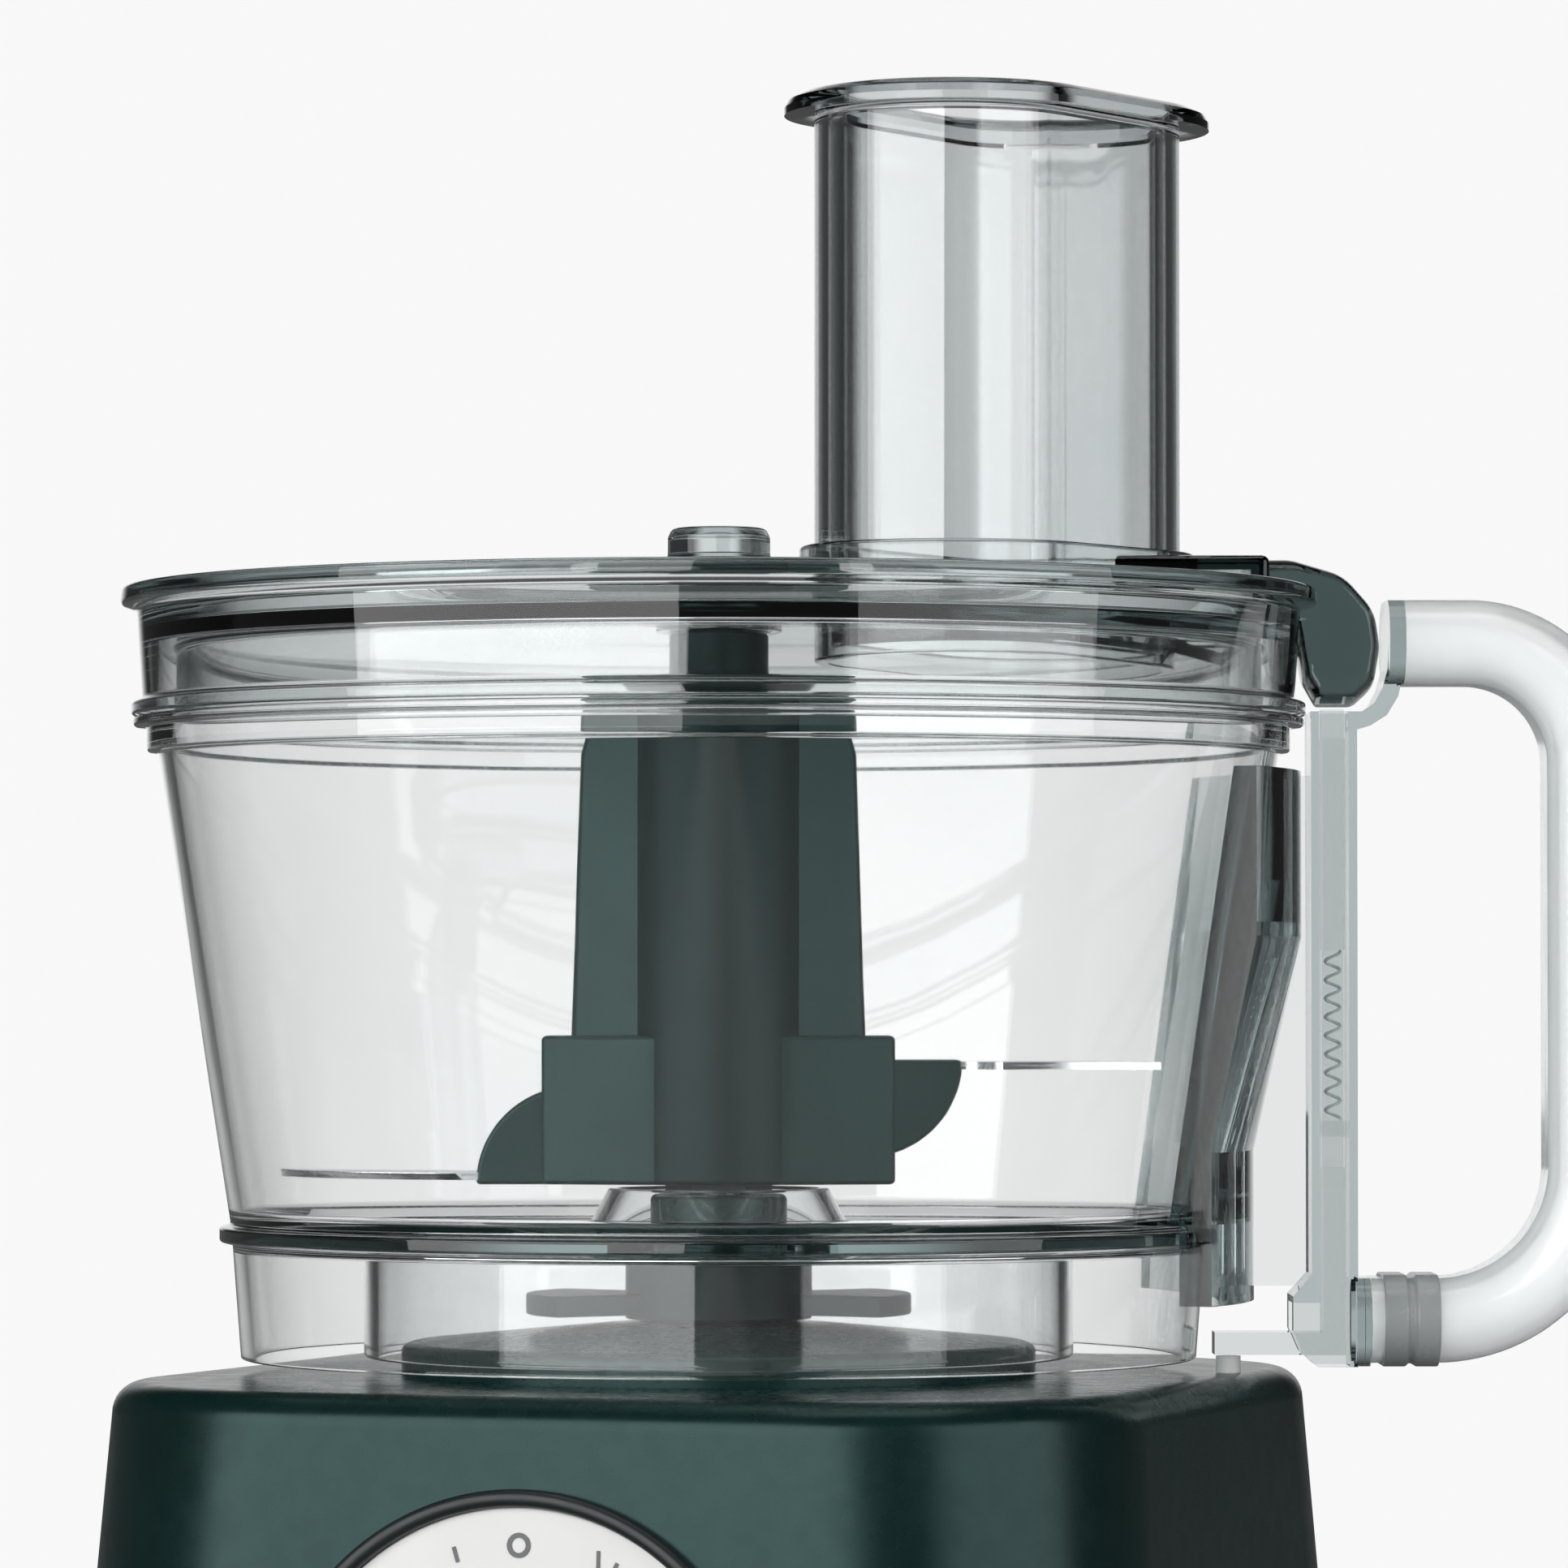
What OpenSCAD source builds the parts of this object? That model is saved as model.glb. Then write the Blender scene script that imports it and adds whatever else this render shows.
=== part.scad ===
// Compact food processor: a motor base, a clear bowl with its handle, a lid with a
// feed tube and pusher, and a two-bladed knife on a belt-driven spindle.
// Origin on the drive axis at the table, +Z up, +X from the axis towards the bowl handle.

/* [Base] */
// Height of the deck that the bowl stands on
deck_z = 166; // [160:1:172]
// Half width of the base at deck height
base_half = 84; // [82:0.5:88]
// Radius of the four upright corners of the base
base_corner = 45; // [42:1:48]
// Growth of the half width for each millimetre downwards
base_flare = 0.07; // [0.05:0.01:0.08]
// Radius of the rounded edge round the deck
deck_edge = 5; // [3:0.5:6]
// Thickness of the housing wall
shell = 3; // [2.5:0.1:3.5]
// Angle from -Y to the front of the base, seen from above
base_yaw = -20; // [-25:1:-15]
// Radius of the circle that the four feet stand on
foot_circle = 75; // [70:1:80]
// Radius of a foot
foot_r = 11; // [9:0.5:13]

/* [Dial] */
// Height of the dial's centre
dial_z = 111; // [105:1:115]
// Radius of the printed dial plate
dial_r = 38.7; // [36:0.1:39]
// Width of the dark ring around the dial plate
bezel_w = 2.7; // [2:0.1:3]
// Radius of the speed knob
knob_r = 25; // [20:1:28]

/* [Bowl] */
// Height of the upper side of the bowl floor
floor_z = 188.8; // [187:0.1:190]
// Outer radius of the bowl wall just above the floor
bowl_low_r = 78.4; // [77:0.1:79]
// Outer radius of the bowl wall just below the rim
bowl_high_r = 90.1; // [89.5:0.1:90.5]
// Height of the bowl rim
rim_z = 271.2; // [270:0.1:271.5]
// Thickness of the clear walls
clear_t = 2.2; // [1.8:0.1:2.4]

/* [Lid] */
// Height of the raised edge of the lid
lid_z = 292; // [291:0.1:293]
// Radius of the lid
lid_r = 96.3; // [95.5:0.1:97]
// Distance from the drive axis to the middle of the feed tube
tube_x = 45.2; // [44:0.1:46]
// Angle from +X to the long axis of the feed tube
tube_turn = 55; // [45:1:60]
// Half distance between the round ends of the feed tube
tube_half = 14; // [12:0.5:15]
// Outer radius of the round ends of the feed tube
tube_r = 21.85; // [20:0.05:22]
// Height of the open end of the feed tube
tube_z = 367.2; // [350:0.1:368]

/* [Knife] */
// Height of the underside of the knife hub
hub_z = 196.5; // [196.3:0.1:197]
// Height of the shoulder of the knife hub
hub_top = 271.5; // [268:0.5:272]
// Radius to the tip of the low blade
low_tip = 74; // [68:0.1:74.5]
// Radius to the tip of the high blade
high_tip = 72.4; // [68:0.1:74.5]
// Thickness of the blades
blade_t = 1.2; // [1:0.1:1.5]

/* [Handle] */
// Distance from the drive axis to the inside of the grip
grip_x = 133; // [130:0.5:136]
// Thickness of the grip across the hand
grip_t = 13.6; // [12:0.2:14.5]
// Width of the grip along the hand's closing line
grip_w = 24; // [20:1:26]
// Height of the underside of the handle's top arm
arm_top_z = 276.6; // [276:0.1:277]
// Height of the upper side of the handle's lower arm
arm_low_z = 181.4; // [180:0.1:182]

/* [Drive] */
// Distance from the spindle to the motor shaft, towards the back of the base
motor_y = 50; // [50:0.5:52]
// Radius of the pulley on the spindle
big_pulley_r = 38; // [34:0.5:38]
// Radius of the pulley on the motor shaft
small_pulley_r = 8.5; // [8:0.5:10]
// Radius of the spindle and of the motor shaft
shaft_r = 4; // [3.5:0.1:4]

/* [Hidden] */
$fn = 96;

// Gaps: between pieces that pass each other, and round a shaft in its bush.
gap = 0.3;
run = 0.05;
over = 0.5;

// Base levels.
base_rim_z = 2.5;
cover_z = 4;
cover_t = 3;
post_xy = 64;
post_r = 4;
screw_r = 1.6;
deck_low = deck_z - shell;
deck_joint = deck_z - deck_edge - 1;
tower_r = 11;
tower_top = 194.5;
bush_r = 9;
tower_bush_top = 192;
grommet_z = 22;
grommet_r = 7;
cord_r = 3.6;

// Drive levels, from the bottom up.
shaft_foot = 14;
pulley_z = 16;
pulley_h = 14;
belt_z = 18;
belt_h = 10;
belt_t = 2;
chassis_z = 36;
chassis_t = 3;
chassis_top = chassis_z + chassis_t;
bush_top = 46;
fan_z = 47;
fan_h = 6.5;
fan_r = 24;
core_z = 62;
core_h = 36;
core_top = core_z + core_h;
rotor_r = 20;
commutator_z = 108;
commutator_h = 14;
commutator_r = 10;
bracket_z = 126;
bracket_t = 4;
motor_bush_r = 7;
shaft_top = 138;
slots = 10;
slot_ring_r = 15;
slot_r = 2.2;

// Interlock: a rod in the handle column presses a plunger in the deck.
rod_x = 97;
rod_t = 3.6;
rod_half = 4;
rod_foot_x = 79.6;
rod_foot_z = 169;
rod_foot_t = 3.6;
rod_top = 272.7;
plunger_x = 82;
plunger_r = 2;
pin_z = 204;
pin_t = 2.5;
spring_top = 234;

// Handle column and its top bracket.
col_x0 = 95;
col_x1 = 102.4;
col_half = 7.5;
col_top = 272.2;
arm_x = 107.4;
arm_low_bottom = arm_low_z - 14.2;
corner_in = 12.5;
low_corner_in = 18;
top_corner_x = grip_x - corner_in;
low_corner_x = grip_x - low_corner_in;
skin = 2;

// Knife.
core_r = 15.6;
wing_half = 9;
block_half_w = 28.3;
block_half = 11.8;
guard_half = 7.2;
block_top = 220.3;
low_blade_z = 197.2;
high_blade_z = 214.9;
tongue_w = 14;
socket_r = 9;
socket_top = 214;
spindle_top = 262;
spigot_r = 8;
spigot_top = 288;
pin_r = 4.5;
pin_top = 294.5;
socket_wall_r = 8.05;
plate_r = 84.5;

// Feed tube and pusher.
tube_y = 1.5;
tube_foot = 282.5;
pusher_foot = 284.5;
pusher_top = 371.4;
pusher_cap = 3.8;

function half_at(z) = base_half + (deck_z - z) * base_flare;
function wall_r(z) = bowl_low_r + (z - 190) * (bowl_high_r - bowl_low_r) / 75.5;

// ---------- shared shapes ----------

module at_base() {
    rotate([0, 0, base_yaw]) children();
}

module at_motor() {
    at_base() translate([0, motor_y, 0]) children();
}

// Local +Z points out of the front wall, z = 0 on its surface.
module at_dial() {
    at_base() translate([0, -half_at(dial_z), dial_z])
        rotate([90 - atan(base_flare), 0, 0]) children();
}

module at_tube() {
    translate([tube_x, tube_y, 0]) rotate([0, 0, tube_turn]) children();
}

module ring(r_out, r_in, h) {
    difference() {
        cylinder(r = r_out, h = h);
        translate([0, 0, -over]) cylinder(r = r_in, h = h + 2 * over);
    }
}

module stadium(half, r) {
    square([2 * half, 2 * r], center = true);
    for (s = [-1, 1]) translate([s * half, 0]) circle(r = r);
}

module rounded_square(half, r) {
    square([2 * half, 2 * (half - r)], center = true);
    square([2 * (half - r), 2 * half], center = true);
    for (sx = [-1, 1], sy = [-1, 1])
        translate([sx * (half - r), sy * (half - r)]) circle(r = r);
}

// One level of the base's outline: four short corner posts.
module base_level(z, centre, r) {
    for (sx = [-1, 1], sy = [-1, 1])
        translate([sx * centre, sy * centre, z]) cylinder(r = r, h = 0.01, $fn = 64);
}

module base_form(inset, low, high, edge) {
    edge_centre = half_at(high - edge) - base_corner;
    hull() {
        base_level(low, half_at(low) - base_corner, base_corner - inset);
        for (a = [0 : 22.5 : 90])
            base_level(high - edge + edge * sin(a) - 0.01, edge_centre,
                       base_corner - inset - edge + edge * cos(a));
    }
}

// The straight part of the base's walls, as one solid.
module base_sleeve(inset, low, high) {
    hull() for (z = [low, high - 0.01])
        base_level(z, half_at(z) - base_corner, base_corner - inset);
}

module belt_outline(slack) {
    hull() {
        circle(r = big_pulley_r + slack);
        translate([0, motor_y]) circle(r = small_pulley_r + slack);
    }
}

// ---------- base ----------

module deck_dome() {
    rotate_extrude() polygon([
        [0, deck_low + 1], [51, deck_low + 1], [51, deck_z + 4], [50, deck_z + 5],
        [19, deck_z + 8], [0, deck_z + 8]
    ]);
}

module base_walls() {
    difference() {
        base_sleeve(0, base_rim_z, deck_joint);
        base_sleeve(shell, base_rim_z - 1, deck_joint + 1);
    }
}

// The flat middle of the back, from the bottom rim to the deck.
module back_region() {
    translate([-38, 60, 0]) cube([76, 60, deck_z]);
}

module housing() {
    color([0.27, 0.33, 0.32]) difference() {
        at_base() difference() {
            base_walls();
            back_region();
        }
        at_dial() translate([0, 0, -1.2]) cylinder(r = dial_r + bezel_w, h = 6);
        at_dial() translate([0, 0, -20]) cylinder(r = 6.5, h = 30);
    }
}

module back_wall() {
    color([0.27, 0.33, 0.32]) at_base() difference() {
        intersection() {
            base_walls();
            back_region();
        }
        translate([0, half_at(0) - 20, grommet_z]) rotate([-90, 0, 0])
            cylinder(r = grommet_r, h = 40);
    }
}

module deck() {
    color([0.27, 0.33, 0.32]) difference() {
        union() {
            at_base() difference() {
                base_form(0, deck_joint, deck_z, deck_edge);
                base_form(shell, deck_joint - 1, deck_low, deck_edge - 2);
            }
            deck_dome();
            translate([0, 0, deck_low + 1])
                cylinder(r = tower_r, h = tower_top - deck_low - 1);
            translate([plunger_x, 0, 152]) cylinder(r = 4.5, h = deck_low + 1 - 152);
        }
        translate([0, 0, 149]) cylinder(r = bush_r, h = tower_bush_top - 149);
        cylinder(r = shaft_r + 1, h = deck_z + 100);
        translate([plunger_x, 0, 150]) cylinder(r = plunger_r + run, h = 30);
    }
}

// The four posts that the cover's screws go into.
module cover_posts() {
    post_h = deck_low - cover_z - cover_t;
    color([0.27, 0.33, 0.32]) at_base() for (sx = [-1, 1], sy = [-1, 1])
        translate([sx * post_xy, sy * post_xy, cover_z + cover_t]) difference() {
            cylinder(r = post_r, h = post_h);
            translate([0, 0, -over]) cylinder(r = screw_r, h = 17);
        }
}

module bottom_cover() {
    color([0.16, 0.18, 0.18]) at_base() difference() {
        translate([0, 0, cover_z]) linear_extrude(cover_t)
            rounded_square(half_at(cover_z) - shell - 0.3, base_corner - shell - 0.3);
        for (sx = [-1, 1], sy = [-1, 1])
            translate([sx * post_xy, sy * post_xy, 0]) cylinder(r = screw_r, h = 20);
        for (q = [0 : 3]) rotate([0, 0, 45 + 90 * q]) translate([foot_circle, 0, 0])
            cylinder(r = 3.2, h = 20);
        for (k = [-3 : 3]) translate([k * 9, motor_y - 4, cover_z - over])
            linear_extrude(cover_t + 2 * over) rotate([0, 0, 90]) stadium(12, 2);
    }
}

module feet() {
    color([0.1, 0.1, 0.1]) at_base() for (q = [0 : 3])
        rotate([0, 0, 45 + 90 * q]) translate([foot_circle, 0, 0]) {
            cylinder(r = foot_r, h = cover_z);
            translate([0, 0, cover_z - over]) cylinder(r = 3.2, h = cover_t + over);
        }
}

module cover_screws() {
    color("silver") at_base() for (sx = [-1, 1], sy = [-1, 1])
        translate([sx * post_xy, sy * post_xy, 0]) difference() {
            union() {
                translate([0, 0, cover_z - 2]) cylinder(r = 3.2, h = 2);
                translate([0, 0, cover_z - over]) cylinder(r = screw_r, h = 16);
            }
            for (t = [0, 90]) rotate([0, 0, t]) translate([0, 0, cover_z - 2])
                cube([4, 0.8, 2], center = true);
        }
}

module dial_plate() {
    color([0.88, 0.89, 0.89]) at_dial() translate([0, 0, -1.2])
        ring(dial_r, 6.5, 1.6);
}

module dial_bezel() {
    color([0.13, 0.16, 0.16]) at_dial() rotate_extrude() {
        translate([dial_r, -1.2]) square([bezel_w, 2.4]);
        translate([dial_r + bezel_w / 2, 1.2]) circle(r = bezel_w / 2);
    }
}

module speed_knob() {
    color([0.3, 0.34, 0.34]) at_dial() difference() {
        union() {
            rotate_extrude() polygon([
                [0, 1], [knob_r, 1], [knob_r, 2.6], [knob_r - 2, 3.4], [knob_r - 3, 10],
                [knob_r - 4, 11.4], [0, 11.4]
            ]);
            intersection() {
                cylinder(r = knob_r - 3, h = 22);
                translate([-4, -knob_r, 10]) cube([8, 2 * knob_r, 10]);
            }
        }
        translate([0, 0, -over]) cylinder(r = shaft_r - 1, h = 15);
    }
}

module selector_shaft() {
    color("silver") at_dial() translate([0, 0, -19.7]) cylinder(r = shaft_r - 1, h = 34);
}

module selector_switch() {
    color([0.85, 0.82, 0.7]) at_dial() difference() {
        union() {
            translate([-15, -15, -22]) cube([30, 30, 18]);
            translate([0, 0, -4 - over]) cylinder(r = 6, h = 2.5);
            for (k = [-1, 1]) translate([k * 8 - 2, -19, -18]) cube([4, 5, 0.8]);
        }
        translate([0, 0, -20]) cylinder(r = shaft_r - 1 + run, h = 30);
    }
}

module cord_grommet() {
    color([0.1, 0.1, 0.1]) at_base() translate([0, half_at(grommet_z), grommet_z])
        rotate([-90, 0, 0]) difference() {
            union() {
                translate([0, 0, -8]) cylinder(r = grommet_r, h = 10);
                translate([0, 0, 1]) cylinder(r = grommet_r + 2, h = 2);
                translate([0, 0, -8]) cylinder(r = grommet_r + 2, h = 3);
            }
            translate([0, 0, -10]) cylinder(r = cord_r, h = 20);
        }
}

module chassis() {
    leg_x = 48;
    legs_y = [-38, 78];
    color([0.2, 0.22, 0.22]) at_base() difference() {
        union() {
            translate([0, 20, chassis_z]) linear_extrude(chassis_t) union() {
                square([110, 110], center = true);
                square([90, 132], center = true);
                for (sx = [-1, 1], sy = [-1, 1])
                    translate([sx * 45, sy * 56]) circle(r = 10);
            }
            for (sx = [-1, 1], y = legs_y) translate([sx * leg_x, y, cover_z + cover_t])
                cylinder(r = 4.5, h = chassis_z - cover_z - cover_t + over);
            translate([0, 0, chassis_z]) cylinder(r = 12, h = bush_top - chassis_z);
            translate([0, motor_y, chassis_z])
                cylinder(r = 11, h = bush_top - chassis_z);
            for (sx = [-1, 1], sy = [-1, 1])
                translate([sx * 26, motor_y + sy * 22, chassis_z])
                    cylinder(r = 4, h = core_z - chassis_z);
        }
        translate([0, 0, chassis_z - 1]) cylinder(r = bush_r, h = 20);
        translate([0, motor_y, chassis_z - 1]) cylinder(r = motor_bush_r, h = 20);
    }
}

// ---------- motor ----------

module motor_stator() {
    color([0.45, 0.46, 0.48]) at_motor() translate([0, 0, core_z]) difference() {
        linear_extrude(core_h) difference() {
            union() {
                square([64, 46], center = true);
                square([54, 58], center = true);
                for (sx = [-1, 1], sy = [-1, 1])
                    translate([sx * 27, sy * 23]) circle(r = 5.5);
            }
            circle(r = rotor_r + 0.5);
            for (s = [-1, 1]) translate([0, s * 20.5]) square([44, 6], center = true);
        }
    }
}

module field_coils() {
    color([0.72, 0.42, 0.2]) at_motor() for (s = [-1, 1])
        for (z = [core_z - 8, core_top])
            translate([0, s * 22.2, z + 4]) cube([40, 5, 8], center = true);
}

module motor_top_bracket() {
    color([0.2, 0.22, 0.22]) at_motor() difference() {
        union() {
            translate([-31, -22, bracket_z]) cube([62, 44, bracket_t]);
            translate([0, 0, bracket_z - 2]) cylinder(r = 11, h = 12);
            for (sx = [-1, 1], sy = [-1, 1]) translate([sx * 27, sy * 18, core_top])
                cylinder(r = 3.5, h = bracket_z + 1 - core_top);
        }
        translate([0, 0, bracket_z - 4]) cylinder(r = motor_bush_r, h = 20);
    }
}

module bush(z, h, r) {
    translate([0, 0, z]) ring(r, shaft_r + run, h);
}

module motor_lower_bush() {
    color([0.75, 0.6, 0.35]) at_motor() bush(chassis_z, bush_top - chassis_z, motor_bush_r);
}

module motor_upper_bush() {
    color([0.75, 0.6, 0.35]) at_motor() bush(bracket_z - 2, 12, motor_bush_r);
}

module spindle_lower_bush() {
    color([0.75, 0.6, 0.35]) bush(chassis_z, bush_top - chassis_z, bush_r);
}

module spindle_upper_bush() {
    color([0.75, 0.6, 0.35]) bush(tower_bush_top - 20, 20, bush_r);
}

module brush_holders() {
    color([0.8, 0.65, 0.3]) at_motor() for (s = [-1, 1])
        translate([s * 20, 0, commutator_z + commutator_h / 2]) difference() {
            union() {
                cube([14, 9, 9], center = true);
                translate([0, 0, 7.5]) cube([6, 5, 7], center = true);
            }
            cube([20, 6, 6], center = true);
        }
}

module carbon_brushes() {
    color([0.15, 0.15, 0.15]) at_motor() for (s = [-1, 1])
        translate([s * (commutator_r + gap + 7), 0, commutator_z + commutator_h / 2])
            cube([14, 6, 6], center = true);
}

module motor_shaft() {
    color("silver") at_motor() translate([0, 0, shaft_foot])
        cylinder(r = shaft_r, h = shaft_top - shaft_foot);
}

module slot_ring(r) {
    for (k = [0 : slots - 1]) rotate([0, 0, k * 360 / slots])
        translate([slot_ring_r, 0, 0]) circle(r = r);
}

module rotor_core() {
    color([0.5, 0.5, 0.52]) at_motor() translate([0, 0, core_z])
        linear_extrude(core_h) difference() {
            circle(r = rotor_r);
            circle(r = shaft_r);
            slot_ring(slot_r);
        }
}

module armature_winding() {
    color([0.72, 0.42, 0.2]) at_motor() {
        translate([0, 0, core_z]) linear_extrude(core_h) slot_ring(slot_r);
        translate([0, 0, core_z - 3]) ring(slot_ring_r + slot_r + 0.8, shaft_r, 3);
        translate([0, 0, core_top]) ring(slot_ring_r + slot_r + 0.8, shaft_r, 7);
    }
}

module commutator() {
    color([0.8, 0.5, 0.3]) at_motor() translate([0, 0, commutator_z - 3]) {
        ring(commutator_r, shaft_r, commutator_h + 3);
        ring(commutator_r + 2, shaft_r, 3);
    }
}

module cooling_fan() {
    color([0.12, 0.13, 0.13]) at_motor() translate([0, 0, fan_z]) {
        ring(7, shaft_r, fan_h);
        ring(fan_r, shaft_r, 1.6);
        for (k = [0 : 8]) rotate([0, 0, k * 40])
            translate([6.5, -0.7, 0]) cube([fan_r - 7.5, 1.4, fan_h]);
    }
}

module motor_pulley() {
    color([0.5, 0.5, 0.52]) at_motor() translate([0, 0, pulley_z]) {
        ring(small_pulley_r, shaft_r, pulley_h);
        ring(small_pulley_r + 2, shaft_r, 1.6);
        translate([0, 0, pulley_h - 1.6]) ring(small_pulley_r + 2, shaft_r, 1.6);
    }
}

// ---------- spindle ----------

module drive_spindle() {
    color("silver") {
        translate([0, 0, shaft_foot]) cylinder(r = shaft_r, h = spindle_top - shaft_foot - 2);
        translate([0, 0, spindle_top - 2]) cylinder(r1 = shaft_r, r2 = shaft_r - 1.5, h = 2);
    }
}

module drive_pulley() {
    web_z = pulley_z + 5;
    color([0.2, 0.22, 0.22]) difference() {
        union() {
            translate([0, 0, pulley_z]) ring(9, shaft_r, pulley_h);
            translate([0, 0, pulley_z]) ring(big_pulley_r, big_pulley_r - 4, pulley_h);
            translate([0, 0, web_z]) ring(big_pulley_r - 3, shaft_r, 4);
        }
        for (k = [0 : 5]) rotate([0, 0, k * 60]) translate([21.5, 0, pulley_z])
            cylinder(r = 8, h = 20);
    }
}

module drive_coupling() {
    color([0.12, 0.14, 0.14]) translate([0, 0, tower_top + 0.7]) difference() {
        cylinder(r = socket_r - 0.4, h = 16.8, $fn = 6);
        translate([0, 0, -over]) cylinder(r = shaft_r, h = 20);
    }
}

module drive_belt() {
    color([0.08, 0.08, 0.08]) at_base() translate([0, 0, belt_z])
        linear_extrude(belt_h) difference() {
            belt_outline(gap + belt_t);
            belt_outline(gap);
        }
}

// ---------- electrics ----------

module control_board() {
    color([0.1, 0.35, 0.2]) at_base() translate([-51, -42, chassis_top])
        cube([1.6, 44, 60]);
}

module board_parts() {
    color([0.2, 0.25, 0.4]) at_base() translate([-49.4, 0, chassis_top]) {
        translate([0, -38, 8]) cube([14, 16, 18]);
        translate([0, -14, 10]) cube([12, 12, 24]);
        translate([0, -30, 42]) rotate([0, 90, 0]) cylinder(r = 6, h = 16);
        translate([0, -12, 42]) cube([9, 11, 12]);
    }
}

module interlock_switch() {
    color([0.12, 0.12, 0.12]) difference() {
        union() {
            translate([plunger_x - 13, -5, 138]) cube([16, 10, 14]);
            for (k = [0 : 2]) translate([plunger_x - 11 + 5 * k, -2.5, 133])
                cube([0.8, 5, 5 + over]);
        }
        translate([plunger_x, 0, 148]) cylinder(r = plunger_r + run, h = 10);
    }
}

module interlock_plunger() {
    color([0.9, 0.9, 0.9]) translate([plunger_x, 0, 150])
        cylinder(r = plunger_r, h = rod_foot_z - gap - 150);
}

// ---------- bowl and handle ----------

module bowl() {
    low_out = wall_r(190);
    color([0.85, 0.88, 0.88, 0.35]) rotate_extrude() union() {
        polygon([
            [12.3, floor_z - 2], [78.1, floor_z - 2], [80.2, floor_z - 1.5],
            [80.2, floor_z + 0.8], [low_out, 190], [bowl_high_r, 265.5], [92, 265.5],
            [92, rim_z - 1.6], [94.2, rim_z - 1.4], [94.2, rim_z],
            [wall_r(rim_z) - clear_t, rim_z], [wall_r(192) - clear_t, 192],
            [wall_r(190) - clear_t - 1.5, floor_z], [12.3, floor_z]
        ]);
        polygon([
            [19.3, floor_z - 1], [21.5, floor_z - 1], [21.5, floor_z],
            [17.7, 195.8], [15.5, 195.8]
        ]);
    }
}

// The skirt under the bowl's floor that goes round the deck's step.
module bowl_skirt() {
    color([0.85, 0.88, 0.88, 0.35]) rotate_extrude() polygon([
        [76, floor_z - 2], [74.5, 168.5], [76.7, 168.5], [78.1, floor_z - 2]
    ]);
}

// The round rib under the bowl's floor that centres it on the deck.
module bowl_rib() {
    color([0.85, 0.88, 0.88, 0.35]) translate([0, 0, 168.8])
        ring(54.8 + clear_t, 54.8, floor_z - 2 - 168.8);
}

// The sleeve round the tower, with the two lugs that lock the bowl down.
module bowl_hub() {
    color([0.2, 0.27, 0.27]) {
        translate([0, 0, 174.8]) ring(15, 12.3, floor_z - 2 - 174.8);
        for (a = [-35, 145]) rotate([0, 0, a]) rotate_extrude(angle = 70)
            polygon([[14, 175.6], [31, 175.6], [31, 179], [14, 179]]);
    }
}

// Cut through the handle frame on the handle's middle plane.
module saddle_section() {
    polygon([
        [80.5, 178], [86, 178], [86, 202], [93.7, 236], [93.7, 262.5],
        [wall_r(262.5) + 0.2, 262.5], [wall_r(190.6) + 0.2, 190.6], [80.5, 190.6]
    ]);
}

module upright(half, points) {
    translate([0, half, 0]) rotate([90, 0, 0]) linear_extrude(2 * half)
        polygon(points);
}

module handle_frame() {
    color([0.6, 0.64, 0.64, 0.5]) difference() {
        union() {
            rotate([0, 0, -26]) rotate_extrude(angle = 52) saddle_section();
            upright(1.2, [[85, 180], [96, 180], [96, 262], [92.5, 262], [92.5, 237],
                             [85, 203]]);
            upright(col_half, [[col_x0, 182], [col_x0, col_top], [col_x1, col_top],
                                  [col_x1, arm_low_bottom], [96, arm_low_bottom],
                                  [93.5, 169.5], [92, 173], [92, 178.5]]);
            upright(col_half, [[col_x1 - 1, 269], [104.5, 269.9], [107.2, 271.6],
                               [109, 274.6], [109.9, 278.5], [110, 283], [arm_x, 283],
                               [107.3, 279], [106.5, 276], [105.2, 273.6],
                               [103.2, col_top], [col_x1 - 1, col_top]]);
            translate([col_x1 - 0.4, 0, 0]) grip_plate(arm_low_z, 14.2, 2.4);
            translate([arm_x, 0, 0]) grip_plate(arm_top_z + grip_t, grip_t, 2.6);
        }
        translate([96.4, -rod_half - 0.4, 160]) cube([rod_t + 1.2, 2 * rod_half + 0.8, 120]);
        translate([70, -rod_half - 0.4, 160]) cube([28, 2 * rod_half + 0.8, 17.4]);
    }
    color([0.6, 0.64, 0.64, 0.5]) translate([96.2, -1.1, pin_z]) cube([rod_t + 1.6, 2.2, pin_t]);
}

// An end plate with the outline of an arm, standing across the X axis.
module grip_plate(top, t, thick) {
    translate([0, 0, top - t / 2]) rotate([90, 0, 90]) linear_extrude(thick)
        stadium((grip_w - t) / 2, t / 2);
}

module arm_section(t) {
    difference() {
        stadium((grip_w - t) / 2, t / 2);
        stadium((grip_w - t) / 2, t / 2 - skin);
    }
}

// A straight stretch of the grip along X, from x0 to x1, with its underside at z0.
module arm(x0, x1, z0, t) {
    translate([x0, 0, z0 + t / 2]) rotate([90, 0, 90]) linear_extrude(x1 - x0)
        arm_section(t);
}

module grip_corner(x, z, r_in, t, start) {
    translate([x, 0, z]) rotate([90, 0, 0]) rotate([0, 0, start])
        rotate_extrude(angle = 90) translate([r_in + t / 2, 0]) rotate([0, 0, 90])
            arm_section(t);
}

module handle_grip() {
    color([0.93, 0.94, 0.94, 0.6])
        translate([grip_x + grip_t / 2, 0, arm_low_z + low_corner_in])
            linear_extrude(arm_top_z - corner_in - arm_low_z - low_corner_in)
                rotate([0, 0, 90]) arm_section(grip_t);
}

module grip_top_arm() {
    color([0.93, 0.94, 0.94, 0.6]) {
        arm(arm_x + 2.6, top_corner_x, arm_top_z, grip_t);
        grip_corner(top_corner_x, arm_top_z - corner_in, corner_in, grip_t, 0);
    }
}

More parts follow.
